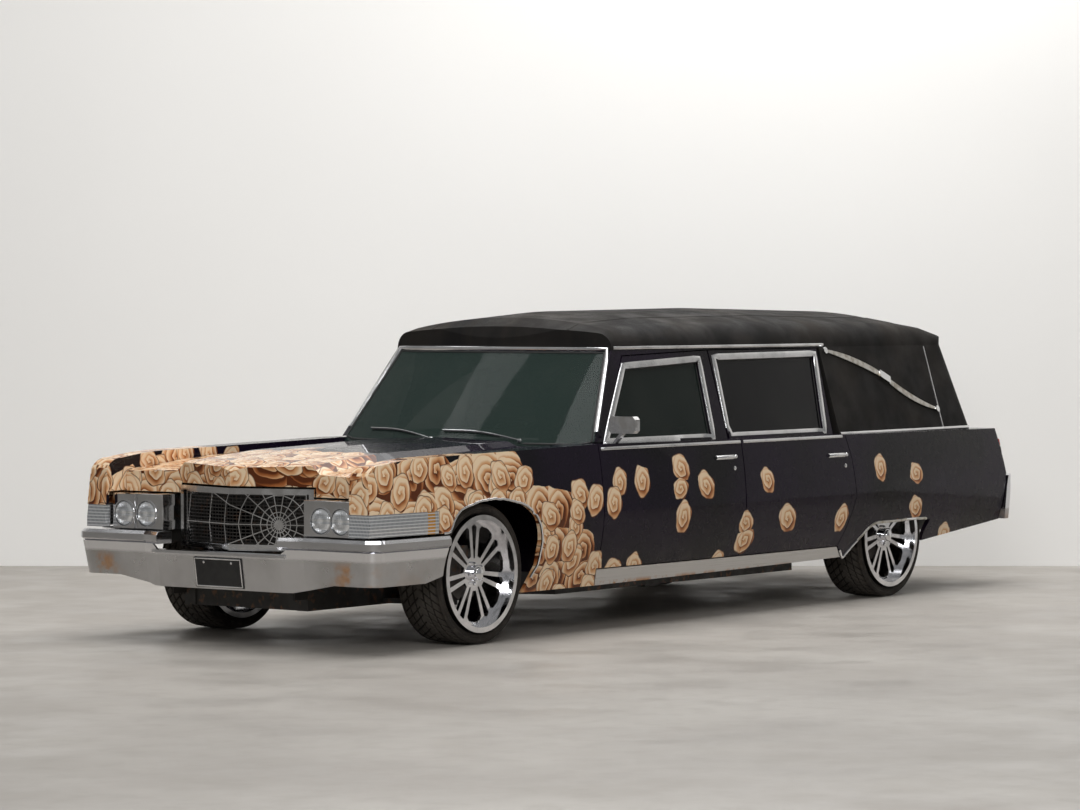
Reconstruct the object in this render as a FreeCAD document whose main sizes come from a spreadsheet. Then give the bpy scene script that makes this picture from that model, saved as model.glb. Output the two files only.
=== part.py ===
"""A long-wheelbase hearse of about 1970 on modern wide wheels, in millimetres.

X runs from the front bumper (-X) to the rear bumper (+X), the car's left side is -Y, and +Z is up.
The origin is on the floor under the middle of the car's length.
"""
import FreeCAD, Part
import math
import os
from types import SimpleNamespace

import Sketcher
from FreeCAD import Placement, Rotation, Vector

X_AXIS = Vector(1, 0, 0)
Y_AXIS = Vector(0, 1, 0)
Z_AXIS = Vector(0, 0, 1)
ORIGIN = Vector(0, 0, 0)

# ---------------------------------------------------------------------------
# Sizes: alias, value, what it is
# ---------------------------------------------------------------------------
SIZES = [
    ("wheelbase", 3962, "front axle to rear axle"),
    ("front_overhang", 969, "front axle to the front bumper's face"),
    ("rear_overhang", 1419, "rear axle to the rear bumper's face"),
    ("tyre_radius", 357, "tyre's outer radius"),
    ("tyre_width", 265, "tyre's section width"),
    ("tyre_inset", 78, "body's crease to the tyre's outer face, inward"),
    ("rim_radius", 279.4, "bead seat of a 22 inch rim"),
    ("rim_flange", 17.6, "height of the rim's flange over its bead seat"),
    ("flange_thickness", 8, "thickness of the rim's flanges"),
    ("rim_wall", 9, "thickness of the rim's barrel"),
    ("spoke_pairs", 7, "pairs of spokes in a wheel"),
    ("hub_radius", 62, "radius of the wheel's hub boss"),
    ("spindle_radius", 30, "radius of the spindle that carries a wheel"),
    ("king_pin", 750, "centre plane to the steering axis"),
    ("shaft_clearance", 0.3, "between a shaft or ball joint and its bore"),
    ("seat_clearance", 0.3, "between a closed panel and the frame it shuts on"),
    ("shut_gap", 6, "between neighbouring panels"),
    ("hood_gap", 8, "between the hood's rear edge and the cowl"),
    ("rear_door_gap", 12, "between the rear door and its surround"),
    # Body section
    ("body_half_width", 1000, "centre plane to the body's crease at its widest"),
    ("side_bow", 72000, "radius of the body side in plan"),
    ("widest_place", 2281, "widest station behind the front axle"),
    ("body_bottom", 235, "underside of the body sides"),
    ("door_bottom", 330, "lower edge of the doors"),
    ("crease_height", 625, "height of the body's crease"),
    ("fender_line_front", 981, "shoulder height at the front door's front edge"),
    ("fender_line_rear", 953, "shoulder height at the tail"),
    ("sill_tuck", 72, "crease to the lower edge of the body, inward"),
    ("door_tuck", 52, "crease to the lower edge of the doors, inward"),
    ("shoulder_tuck", 42, "crease to the shoulder, inward"),
    ("door_depth", 160, "body's crease to the doors' inner face, inward"),
    ("skin", 20, "thickness of fender and quarter panels"),
    ("pillar_depth", 40, "depth of the pillars behind the doors"),
    ("door_setback", 981, "front axle to the front door's front edge"),
    ("front_door_length", 1331, "front door's length at the shoulder"),
    ("rear_door_to_axle", 483, "rear door's rear edge to the rear axle"),
    # Greenhouse
    ("glass_base", 940, "height where the greenhouse rises from the body"),
    ("rail_height", 1466, "height of the roof rail"),
    ("base_inset", 112, "body's crease to the greenhouse's base, inward"),
    ("rail_inset", 265, "body's crease to the roof rail, inward"),
    ("screen_setback", 75, "front door's front edge to the screen's lower corner"),
    ("screen_rake", 353, "screen's lower corner to its upper corner, rearward"),
    ("screen_base_bulge", 115, "forward bow of the screen's lower edge"),
    ("screen_top_bulge", 60, "forward bow of the screen's upper edge"),
    ("tail_base", 1179, "rear axle to the greenhouse's rear face at its base"),
    ("tail_top", 1059, "rear axle to the greenhouse's rear face at the rail"),
    ("tail_corner", 150, "radius of the greenhouse's rear corners"),
    ("frame_depth", 40, "thickness of the doors' window frames"),
    ("post_depth", 70, "thickness of the roof posts"),
    ("glass_setback", 14, "window glass behind the frame's face"),
    ("glass_thickness", 6, "thickness of the glass"),
    ("roof_crown", 1690, "highest point of the roof"),
    ("roof_wall", 35, "thickness of the roof"),
    # Front end
    ("fender_width", 210, "body's crease to the hood's side edge, inward"),
    ("hood_skin", 20, "thickness of the hood"),
    ("hood_edge_rear", 962, "height of the hood's side edge at the cowl"),
    ("hood_edge_front", 868, "height of the hood's side edge at the nose"),
    ("hood_rise", 42, "height of the raised middle of the hood"),
    ("grille_half_width", 439, "half width of the grille"),
    ("grille_top", 796, "height of the grille's upper bar"),
    ("grille_bottom", 484, "height of the grille's lower bar"),
    ("grille_prow", 1093, "front axle to the grille's prow less its depth"),
    ("grille_wing", 732, "front axle to the grille's outer ends"),
    ("grille_bar", 26, "width of the grille's frame bars"),
    ("grille_depth", 40, "depth of the grille's frame"),
    ("web_spokes", 18, "radial strands of the web"),
    ("web_rings", 9, "rings of the web"),
    ("web_strand", 5, "width of a strand"),
    ("lamp_radius", 73, "radius of a headlamp"),
    # Chassis
    ("frame_bottom", 190, "underside of the chassis rails"),
    ("frame_top", 310, "top of the chassis rails, under the floor"),
    ("rail_width", 70, "width of a chassis rail"),
    ("rail_front", 370, "centre plane to a rail at the front axle"),
    ("rail_middle", 690, "centre plane to a rail under the cabin"),
    ("rail_rear", 480, "centre plane to a rail at the rear axle"),
    ("floor_thickness", 20, "thickness of the floor"),
    ("deck_height", 630, "height of the load floor"),
    ("deck_half_width", 600, "half width of the load floor between the wheelhouses"),
]

doc = FreeCAD.newDocument("Hearse")
sheet = doc.addObject("Spreadsheet::Sheet", "Sizes")
for row, (alias, value, note) in enumerate(SIZES, start=1):
    sheet.set(f"A{row}", note)
    sheet.set(f"B{row}", str(value))
    sheet.setAlias(f"B{row}", alias)
doc.recompute()


class Size:
    """A length of the sheet, or one worked out from such lengths, with the formula that gives it."""

    def __init__(self, number, formula):
        self.number = number
        self.formula = formula

    def __float__(self):
        return float(self.number)

    def combined(self, other, sign, number):
        return Size(number, f"({self.formula} {sign} {formula_of(other)})")

    def __add__(self, other):
        return self.combined(other, "+", float(self) + float(other))

    def __sub__(self, other):
        return self.combined(other, "-", float(self) - float(other))

    def __mul__(self, other):
        return self.combined(other, "*", float(self) * float(other))

    def __truediv__(self, other):
        return self.combined(other, "/", float(self) / float(other))

    __radd__ = __add__
    __rmul__ = __mul__

    def __neg__(self):
        return Size(-float(self), f"(0 - {self.formula})")


def formula_of(length):
    return length.formula if isinstance(length, Size) else str(length)


dim = SimpleNamespace(**{alias: Size(sheet.get(alias), f"Sizes.{alias}") for alias, _, _ in SIZES})

# Places worked out from the sizes
overall_length = dim.front_overhang + dim.wheelbase + dim.rear_overhang
front_axle = dim.front_overhang - overall_length / 2
rear_axle = front_axle + dim.wheelbase
FRONT = float(front_axle)
REAR = float(rear_axle)
WIDEST = FRONT + float(dim.widest_place)
DOOR_FRONT = FRONT + float(dim.door_setback)
base_half_width = dim.body_half_width - dim.base_inset
rail_half_width = dim.body_half_width - dim.rail_inset
screen_base = dim.door_setback + dim.screen_setback
screen_top = screen_base + dim.screen_rake
GLASS_BASE = float(dim.glass_base)
ROOF_BASE = float(dim.rail_height)
DOOR_SPLIT = DOOR_FRONT + float(dim.front_door_length)
DOOR_REAR = REAR - float(dim.rear_door_to_axle)
TAIL = REAR + 1349.0
GAP = float(dim.shut_gap)
SEAT = float(dim.seat_clearance)

# ---------------------------------------------------------------------------
# Outlines: corners are (u, v), or (u, v, mu, mv) for an arc that reaches (u, v) through (mu, mv)
# ---------------------------------------------------------------------------


def closed_wire(path, place):
    edges = []
    for start, end in zip(path, path[1:] + path[:1]):
        first, last = place(*start[:2]), place(*end[:2])
        if len(end) == 4:
            edges.append(Part.Arc(first, place(*end[2:]), last).toShape())
        else:
            edges.append(Part.makeLine(first, last))
    return Part.Wire(edges)


def side_prism(path, y_start, y_end):
    """An outline in X and Z carried across the car."""
    face = Part.Face(closed_wire(path, lambda x, z: Vector(x, y_start, z)))
    return face.extrude(Vector(0, y_end - y_start, 0))


def plan_prism(path, z_start, z_end):
    """An outline in X and Y carried upward."""
    face = Part.Face(closed_wire(path, lambda x, y: Vector(x, y, z_start)))
    return face.extrude(Vector(0, 0, z_end - z_start))


def cross_prism(path, x_start, x_end):
    """An outline in Y and Z carried along the car."""
    face = Part.Face(closed_wire(path, lambda y, z: Vector(x_start, y, z)))
    return face.extrude(Vector(x_end - x_start, 0, 0))


def block(x_start, x_end, y_start, y_end, z_start, z_end):
    size = (x_end - x_start, y_end - y_start, z_end - z_start)
    return Part.makeBox(*size, Vector(x_start, y_start, z_start))


def mirrored(shape):
    return shape.mirror(ORIGIN, Y_AXIS)


def both_sides(shape):
    return [shape, mirrored(shape)]


def fused(shapes):
    return shapes[0].multiFuse(shapes[1:]).removeSplitter()


LEFT_SIDE = (-1200.0, 0.0)


def cut_left(slab, path):
    """The part of a left-hand slab inside an outline in X and Z."""
    return slab.common(side_prism(path, *LEFT_SIDE))


# ---------------------------------------------------------------------------
# The body side: one cross-section swept along the side's plan bow
# ---------------------------------------------------------------------------
HALF = float(dim.body_half_width)
BOW = float(dim.side_bow)
SIDE_TOP = 1010.0


def bow_at(x):
    """How far the side has drawn in at a station, measured from its widest."""
    return (x - WIDEST) ** 2 / (2 * BOW)


def bowed(path):
    """A cross-section of outward distance and height, carried along the left side."""
    axis = Vector(WIDEST, BOW - HALF, 0)
    face = Part.Face(closed_wire(path, lambda out, z: Vector(WIDEST, -out, z)))
    reach = math.degrees(math.asin(3500.0 / BOW))
    face.rotate(axis, Z_AXIS, -reach)
    return face.revolve(axis, Z_AXIS, 2 * reach)


def body_slab(inset, inner, rounded=True):
    """From an inner plane out to the body's skin, or to an inset of it, whose sides may be straight."""
    out = HALF - inset
    crease = float(dim.crease_height)
    low = float(dim.door_bottom)
    shoulder = float(dim.fender_line_front)
    tuck_low, tuck_high = float(dim.door_tuck), float(dim.shoulder_tuck)
    lower_arc = (out - 0.3 * tuck_low, (low + crease) / 2) if rounded else ()
    upper_arc = (out - 0.32 * tuck_high, (crease + shoulder) / 2) if rounded else ()
    return bowed([
        (inner, float(dim.body_bottom) - 20),
        (out - float(dim.sill_tuck), float(dim.body_bottom) - 20),
        (out - tuck_low, low),
        (out, crease) + lower_arc,
        (out - tuck_high, shoulder) + upper_arc,
        (out - tuck_high, SIDE_TOP),
        (inner, SIDE_TOP),
    ])


def shoulder_at(x):
    """Height of the shoulder from the front door's front edge to the tail."""
    share = (x - DOOR_FRONT) / (TAIL - DOOR_FRONT)
    return float(dim.fender_line_front) + share * float(dim.fender_line_rear - dim.fender_line_front)


# ---------------------------------------------------------------------------
# The greenhouse: a ruled loft between its outline at the base and at the roof rail
# ---------------------------------------------------------------------------


def greenhouse_outline(inset, height, half_width, corner_x, bulge, tail_x):
    front = corner_x + inset
    back = tail_x - inset
    radius = float(dim.tail_corner) - inset
    turn = radius * (1 - math.sqrt(0.5))

    def half(x):
        return half_width - inset - bow_at(x)

    side_end = back - radius
    tail_half = half(side_end)
    path = [
        (front, half(front)),
        (front, -half(front), front - bulge, 0),
        (side_end, -tail_half, WIDEST, -half(WIDEST)),
        (back, -tail_half + radius, back - turn, -tail_half + turn),
        (back, tail_half - radius),
        (side_end, tail_half, back - turn, tail_half - turn),
    ]
    path[0] = path[0] + (WIDEST, half(WIDEST))
    return closed_wire(path, lambda x, y: Vector(x, y, height))


def greenhouse(inset):
    low = greenhouse_outline(inset, float(dim.glass_base), float(base_half_width),
                             FRONT + float(screen_base), float(dim.screen_base_bulge),
                             REAR + float(dim.tail_base))
    high = greenhouse_outline(inset, float(dim.rail_height), float(rail_half_width),
                              FRONT + float(screen_top), float(dim.screen_top_bulge),
                              REAR + float(dim.tail_top))
    return Part.makeLoft([low, high], True, True)


FRAME_DEPTH = float(dim.frame_depth)
POST_DEPTH = float(dim.post_depth)
frame_shell = greenhouse(0).cut(greenhouse(FRAME_DEPTH))
post_shell = greenhouse(0).cut(greenhouse(POST_DEPTH))
inner_post_shell = greenhouse(FRAME_DEPTH + SEAT).cut(greenhouse(POST_DEPTH))
glass_depth = float(dim.glass_setback)
glass_shell = greenhouse(glass_depth).cut(greenhouse(glass_depth + float(dim.glass_thickness)))

pieces = {}


def feature(name, shape):
    """A piece whose shape comes from surfaces that no single sketch gives."""
    item = doc.addObject("Part::Feature", name)
    item.Label = name
    item.Shape = shape
    item.Placement = Placement()
    pieces[name] = item
    return item


def origin_feature(body, role):
    return next(item for item in body.Origin.OriginFeatures if item.Role == role)


def new_body(name, position=ORIGIN, rotation=Rotation()):
    body = doc.addObject("PartDesign::Body", name)
    body.Label = name
    body.Placement = Placement(position, rotation)
    pieces[name] = body
    return body


def sketch_outline(body, name, plane, corners):
    """A closed outline of straight lines whose corners are driven by the sheet."""
    sketch = body.newObject("Sketcher::SketchObject", name)
    sketch.AttachmentSupport = (origin_feature(body, plane), [""])
    sketch.MapMode = "FlatFace"
    count = len(corners)
    for start, end in zip(corners, corners[1:] + corners[:1]):
        sketch.addGeometry(Part.LineSegment(Vector(*map(float, start), 0), Vector(*map(float, end), 0)))
    for index in range(count):
        sketch.addConstraint(Sketcher.Constraint("Coincident", index, 2, (index + 1) % count, 1))
    for index, corner in enumerate(corners):
        for kind, length in zip(("DistanceX", "DistanceY"), corner):
            number = sketch.addConstraint(Sketcher.Constraint(kind, -1, 1, index, 1, float(length)))
            if isinstance(length, Size):
                sketch.setExpression(f"Constraints[{number}]", length.formula)
    return sketch


def revolved(body, name, plane, axis, corners):
    sketch = sketch_outline(body, name + "_outline", plane, corners)
    turn = body.newObject("PartDesign::Revolution", name)
    turn.Profile = sketch
    turn.ReferenceAxis = (sketch, [axis])
    turn.Angle = 360
    return turn


def padded_bothways(body, name, plane, corners, length):
    sketch = sketch_outline(body, name + "_outline", plane, corners)
    pad = body.newObject("PartDesign::Pad", name)
    pad.Profile = sketch
    pad.Midplane = True
    pad.Length = float(length)
    if isinstance(length, Size):
        pad.setExpression("Length", length.formula)
    return pad


# ---------------------------------------------------------------------------
# Wheels: turned about Y, outer face towards -Y
# ---------------------------------------------------------------------------
wheel_height = dim.tyre_radius
wheel_centre = dim.body_half_width - dim.tyre_inset - dim.tyre_width / 2
WHEEL_CENTRE = float(wheel_centre)
WHEEL_Z = float(wheel_height)


def tyre(name, position, rotation):
    body = new_body(name, position, rotation)
    half = dim.tyre_width / 2
    bead = dim.rim_radius + dim.shaft_clearance
    revolved(body, name + "_carcass", "YZ_Plane", "H_Axis", [
        (-half, bead),
        (-half, dim.tyre_radius - 9),
        (-half + 9, dim.tyre_radius),
        (half - 9, dim.tyre_radius),
        (half, dim.tyre_radius - 9),
        (half, bead),
    ])


def rim(name, position, rotation):
    """A deep-lipped barrel, a centre opened into pairs of spokes, and a round cap."""
    body = new_body(name, position, rotation)
    flange = dim.flange_thickness
    edge = dim.tyre_width / 2 + dim.shaft_clearance + flange
    seat = dim.rim_radius
    lip = seat + dim.rim_flange
    barrel = seat - dim.rim_wall
    bore = dim.spindle_radius + dim.shaft_clearance
    hub = dim.hub_radius
    cap = hub - 22
    revolved(body, name + "_turned", "YZ_Plane", "H_Axis", [
        (-edge, lip),
        (-edge + flange, lip),
        (-edge + flange, seat),
        (edge - flange, seat),
        (edge - flange, lip),
        (edge, lip),
        (edge, barrel),
        (-edge + 70, barrel),
        (-edge + 70, hub),
        (-edge + 106, hub),
        (-edge + 106, bore),
        (-edge + 50, bore),
        (-edge + 50, 0),
        (-edge + 26, 0),
        (-edge + 26, cap),
        (-edge + 52, cap),
        (-edge + 52, barrel),
        (-edge, barrel),
    ])
    spoke_circle = barrel - 8
    slot = [(-5, hub + 14), (5, hub + 14), (20, spoke_circle - 26), (0, spoke_circle - 14), (-20, spoke_circle - 26)]
    cut_pattern(body, name + "_slot", slot, 0, dim.spoke_pairs)
    turn = math.pi / float(dim.spoke_pairs)
    window = []
    for across, reach in ((-13, 26), (13, 26), (58, 156), (46, 176), (0, 186), (-46, 176), (-58, 156)):
        window.append((across * math.cos(turn) + (hub + reach) * math.sin(turn),
                       (hub + reach) * math.cos(turn) - across * math.sin(turn)))
    cut_pattern(body, name + "_window", window, turn, dim.spoke_pairs)
    return body


def cut_pattern(body, name, corners, turn, count):
    """A window through the wheel's centre, repeated round the axle."""
    sketch = sketch_outline(body, name + "_outline", "XZ_Plane", corners)
    pocket = body.newObject("PartDesign::Pocket", name)
    pocket.Profile = sketch
    pocket.Midplane = True
    pocket.Type = "ThroughAll"
    pattern = body.newObject("PartDesign::PolarPattern", name + "_pattern")
    pattern.Originals = [pocket]
    pattern.Axis = (origin_feature(body, "Y_Axis"), [""])
    pattern.Angle = 360
    pattern.Occurrences = int(float(count))
    pattern.setExpression("Occurrences", count.formula)
    body.Tip = pattern


CORNERS = {
    "front_left": (FRONT, -WHEEL_CENTRE, 0),
    "front_right": (FRONT, WHEEL_CENTRE, 180),
    "rear_left": (REAR, -WHEEL_CENTRE, 0),
    "rear_right": (REAR, WHEEL_CENTRE, 180),
}
for corner, (wheel_x, wheel_y, heading) in CORNERS.items():
    hub_point = Vector(wheel_x, wheel_y, WHEEL_Z)
    facing = Rotation(Z_AXIS, heading)
    tyre("tyre_" + corner, hub_point, facing)
    rim("rim_" + corner, hub_point, facing)

# ---------------------------------------------------------------------------
# Knuckles: the spindle and brake drum on an upright that turns between two ball joints
# ---------------------------------------------------------------------------
UPRIGHT_HALF = 135.0
spindle_end = wheel_centre - dim.king_pin + dim.tyre_width / 2 - 46
drum_face = wheel_centre - dim.king_pin + 28
for side, heading in (("left", 0), ("right", 180)):
    sign = -1 if side == "left" else 1
    knuckle = new_body("knuckle_" + side, Vector(FRONT, sign * float(dim.king_pin), WHEEL_Z),
                       Rotation(Z_AXIS, heading))
    revolved(knuckle, knuckle.Name + "_spindle", "YZ_Plane", "H_Axis", [
        (30, 0), (30, 60), (-20, 60), (-20, 140), (-drum_face, 140), (-drum_face, dim.spindle_radius),
        (-spindle_end, dim.spindle_radius), (-spindle_end, 0),
    ])
    post = sketch_outline(knuckle, knuckle.Name + "_post_outline", "XY_Plane",
                          [(-24, -16), (24, -16), (24, 20), (-24, 20)])
    pad = knuckle.newObject("PartDesign::Pad", knuckle.Name + "_post")
    pad.Profile = post
    pad.Midplane = True
    pad.Length = 2 * UPRIGHT_HALF

# ---------------------------------------------------------------------------
# Chassis: two rails that widen under the cabin and rise over the rear axle
# ---------------------------------------------------------------------------
FRAME_BOTTOM = float(dim.frame_bottom)
FRAME_TOP = float(dim.frame_top)
RAIL_HALF = float(dim.rail_width) / 2
RAIL_FRONT, RAIL_MIDDLE, RAIL_REAR = float(dim.rail_front), float(dim.rail_middle), float(dim.rail_rear)
RAIL_DEPTH = FRAME_TOP - FRAME_BOTTOM
FLOOR = FRAME_TOP + float(dim.floor_thickness)
DECK = float(dim.deck_height)
DECK_UNDER = DECK - float(dim.floor_thickness)
DECK_START = DOOR_SPLIT + 60.0
FIREWALL = DOOR_FRONT - 160.0
rail_run = [(FRONT - 740, RAIL_FRONT), (FRONT + 700, RAIL_FRONT), (FRONT + 900, RAIL_MIDDLE),
            (REAR - 760, RAIL_MIDDLE), (REAR - 540, RAIL_REAR), (TAIL - 200, RAIL_REAR)]
rail_plan = [(x, y - RAIL_HALF) for x, y in rail_run] + [(x, y + RAIL_HALF) for x, y in reversed(rail_run)]
KICK = 450.0
kick_run = [(FRONT - 740, FRAME_BOTTOM), (REAR - 520, FRAME_BOTTOM), (REAR - 340, KICK),
            (REAR + 340, KICK), (REAR + 520, 330), (TAIL - 200, 330)]
rail_side = kick_run + [(x, z + RAIL_DEPTH) for x, z in reversed(kick_run)]
rail = plan_prism(rail_plan, 0, 1000).common(side_prism(rail_side, 0, 1000))
crossings = []
for x, width, half, top in ((FRONT - 690, 80, RAIL_FRONT, FRAME_TOP), (FRONT, 150, RAIL_FRONT, FRAME_TOP),
                            (DOOR_FRONT + 330, 90, RAIL_MIDDLE, FRAME_BOTTOM + 30),
                            (DOOR_SPLIT + 90, 90, RAIL_MIDDLE, FRAME_BOTTOM + 30),
                            (REAR - 800, 90, RAIL_MIDDLE, FRAME_BOTTOM + 30)):
    crossings.append(block(x - width / 2, x + width / 2, -half, half, FRAME_BOTTOM, top))
crossings.append(block(TAIL - 280, TAIL - 200, -RAIL_REAR, RAIL_REAR, 330, 330 + RAIL_DEPTH))
JACK_X = DOOR_SPLIT - 500.0
JACK_LENGTH, JACK_WIDTH, JACK_HEIGHT = 140.0, 50.0, 10.0
jack_pad = block(JACK_X - JACK_LENGTH / 2, JACK_X + JACK_LENGTH / 2, RAIL_MIDDLE - JACK_WIDTH / 2,
                 RAIL_MIDDLE + JACK_WIDTH / 2, FRAME_BOTTOM - JACK_HEIGHT, FRAME_BOTTOM)
feature("chassis_frame", Part.makeCompound(both_sides(fused([rail, jack_pad]))))
rail_space = plan_prism([(x, y - RAIL_HALF - SEAT) for x, y in rail_run] +
                        [(x, y + RAIL_HALF + SEAT) for x, y in reversed(rail_run)], 0, 1000)
rail_spaces = Part.makeCompound(both_sides(rail_space))
feature("crossmembers", Part.makeCompound([max(crossing.cut(rail_spaces).Solids, key=lambda solid: solid.Volume)
                                           for crossing in crossings]))

# Engine and gearbox, plain blocks on the front crossmember
TUNNEL = 150.0
engine = block(FRONT - 330, FRONT + 430, -300, 300, FRAME_TOP, 800)
GEARBOX_Z = FRAME_TOP + 40
gearbox = Part.makeCylinder(100, 900, Vector(FRONT + 430, 0, GEARBOX_Z), X_AXIS)
feature("engine", fused([engine, gearbox]))
GEARBOX_END = FRONT + 1330.0

# ---------------------------------------------------------------------------
# Front suspension: arms from the rails out to the knuckles' ball joints, springs between them
# ---------------------------------------------------------------------------
LOWER_JOINT = WHEEL_Z - UPRIGHT_HALF - SEAT
UPPER_JOINT = WHEEL_Z + UPRIGHT_HALF + SEAT
KING_PIN = float(dim.king_pin)
rail_outer = RAIL_FRONT + RAIL_HALF


def wishbone(reach, half_base, z_start, z_end):
    return plan_prism([(FRONT - half_base, -reach), (FRONT - 20, -KING_PIN - 6),
                       (FRONT + 20, -KING_PIN - 6, FRONT, -KING_PIN - 16),
                       (FRONT + half_base, -reach), (FRONT + half_base - 50, -reach),
                       (FRONT, -KING_PIN + 110), (FRONT - half_base + 50, -reach)], z_start, z_end)


lower_arm = wishbone(rail_outer, 140, LOWER_JOINT - 28, LOWER_JOINT)
upper_arm = wishbone(rail_outer, 110, UPPER_JOINT, UPPER_JOINT + 24)
tower = block(FRONT - 110, FRONT + 110, -rail_outer, -rail_outer + 50, FRAME_TOP, UPPER_JOINT + 24)
spring_seat = block(FRONT - 60, FRONT + 60, -rail_outer - 130, -rail_outer, LOWER_JOINT - 28, LOWER_JOINT)
spring = Part.makeCylinder(52, UPPER_JOINT - LOWER_JOINT + 10, Vector(FRONT, -rail_outer - 68, LOWER_JOINT - 5), Z_AXIS)
feature("front_suspension", Part.makeCompound(both_sides(fused([lower_arm, upper_arm, tower, spring_seat, spring]))))

# Rear axle: a turned housing with drums, and springs up to the rails
axle = new_body("rear_axle", Vector(REAR, 0, WHEEL_Z))
axle_drum = wheel_centre + 28
axle_end = wheel_centre + dim.tyre_width / 2 - 46
half_axle = [(90, 146), (90, 46), (axle_drum - 70, 46), (axle_drum - 70, 140),
             (axle_drum, 140), (axle_drum, dim.spindle_radius), (axle_end, dim.spindle_radius)]
left_half = [(-y, radius) for y, radius in half_axle]
revolved(axle, "rear_axle_turned", "YZ_Plane", "H_Axis",
         [(-axle_end, 0)] + left_half[::-1] + half_axle + [(axle_end, 0)])
spring_legs = []
for y in (-RAIL_REAR, RAIL_REAR):
    spring_legs.append(Part.makeCylinder(48, KICK - WHEEL_Z - 30, Vector(REAR, y, WHEEL_Z + 30), Z_AXIS))
feature("rear_springs", Part.makeCompound([leg.cut(Part.makeCylinder(46, 1700, Vector(REAR, -850, WHEEL_Z), Y_AXIS))
                                           for leg in spring_legs]))

shaft_start = Vector(GEARBOX_END + 0.5, 0, FRAME_TOP + 20)
shaft_end = Vector(REAR - 150.5, 0, WHEEL_Z)
shaft_run = shaft_end - shaft_start
feature("drive_shaft", Part.makeCylinder(34, shaft_run.Length, shaft_start, shaft_run))

EXHAUST_Z = FRAME_BOTTOM - 28 - SEAT
pipe = Part.makeCylinder(28, TAIL - 120 - (FRONT + 300), Vector(FRONT + 300, 210, EXHAUST_Z), X_AXIS)
silencer = Part.makeCylinder(55, 620, Vector(DOOR_SPLIT + 150, 210, EXHAUST_Z - 5), X_AXIS)
downpipe = Part.makeCylinder(28, FRAME_TOP - EXHAUST_Z, Vector(FRONT + 300, 210, EXHAUST_Z), Z_AXIS)
feature("exhaust", fused([pipe, silencer, downpipe]))

tank = new_body("fuel_tank", Vector(REAR + 790, 0, DECK_UNDER - 110))
padded_bothways(tank, "tank_shell", "XZ_Plane",
                [(-270, -90), (-230, -110), (230, -110), (270, -90), (270, 110), (-270, 110)], 800)

# ---------------------------------------------------------------------------
# Floor: a low front pan with a tunnel, a step up to the load floor, and wheelhouses
# ---------------------------------------------------------------------------
PAN_HALF = HALF - 200
DOOR_INNER = float(dim.body_half_width - dim.door_depth)
FRAME_INNER = DOOR_INNER - float(dim.pillar_depth)
side_space = bowed([(FRAME_INNER, FRAME_TOP - 20), (1200, FRAME_TOP - 20), (1200, 940), (FRAME_INNER, 940)])
DECK_HALF = float(dim.deck_half_width)
FLOOR_THICK = float(dim.floor_thickness)
GREENHOUSE_TAIL = REAR + float(dim.tail_base)


def tunnel_band(radius):
    return [(-PAN_HALF, FRAME_TOP + radius - TUNNEL), (-radius, FRAME_TOP + radius - TUNNEL),
            (radius, FRAME_TOP + radius - TUNNEL, 0, FRAME_TOP + 60 + radius - TUNNEL + 100),
            (PAN_HALF, FRAME_TOP + radius - TUNNEL)]


tunnel_out = tunnel_band(TUNNEL + FLOOR_THICK)
tunnel_in = tunnel_band(TUNNEL)
pan = cross_prism(tunnel_out + [(PAN_HALF, FRAME_TOP), (-PAN_HALF, FRAME_TOP)], FIREWALL, DECK_START)
under = [(-TUNNEL, FRAME_TOP), (TUNNEL, FRAME_TOP, 0, FRAME_TOP + 160)]
pan = pan.cut(cross_prism(under, FIREWALL, DECK_START))
riser = block(DECK_START, DECK_START + 20, -PAN_HALF, PAN_HALF, FRAME_TOP, DECK)
riser = riser.cut(cross_prism(under, DECK_START, DECK_START + 20))
load_floor = block(DECK_START + 20 + SEAT, GREENHOUSE_TAIL - 60, -PAN_HALF, PAN_HALF, DECK_UNDER, DECK)
WHEELHOUSE = 440.0


def arch(radius, y_start, y_end):
    cylinder = Part.makeCylinder(radius, y_end - y_start, Vector(REAR, y_start, WHEEL_Z), Y_AXIS)
    return cylinder.common(block(REAR - radius, REAR + radius, y_start, y_end, DECK_UNDER, 1000))


side_spaces = Part.makeCompound(both_sides(side_space))
feature("floor_pan", fused([pan, riser]).cut(side_spaces))
WELL_OUTER = HALF - 100
wheelhouse = arch(WHEELHOUSE, -WELL_OUTER, -DECK_HALF)
well = arch(WHEELHOUSE - 10, -WELL_OUTER - 10, -DECK_HALF - 10)
feature("wheelhouses", Part.makeCompound(both_sides(wheelhouse.cut(well))))
house_space = Part.makeCompound(both_sides(arch(WHEELHOUSE + SEAT, -WELL_OUTER - 100, -DECK_HALF + SEAT)))
feature("load_floor", load_floor.cut(side_spaces).cut(house_space))

# Load deck: a plate with side rails and rows of rollers
deck = block(DECK_START + 120, GREENHOUSE_TAIL - 90, -DECK_HALF + 40, DECK_HALF - 40, DECK, DECK + 18)
deck_parts = [deck]
for y in (-430, -150, 150, 430):
    deck_parts.append(block(DECK_START + 180, GREENHOUSE_TAIL - 150, y - 12, y + 12, DECK + 18, DECK + 34))
feature("casket_deck", fused(deck_parts))

# ---------------------------------------------------------------------------
# Doors, on the left; the right-hand ones mirror them
# ---------------------------------------------------------------------------
DOOR_BOTTOM = float(dim.door_bottom)
door_slab = body_slab(0, DOOR_INNER)
DOOR_TOP = 1456.0
arch_foot = (REAR - 612, DOOR_BOTTOM + 6)
arch_bend = (REAR - 560, 470)


STEP = 12.0
STEP_TOP = DOOR_TOP + 1


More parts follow.
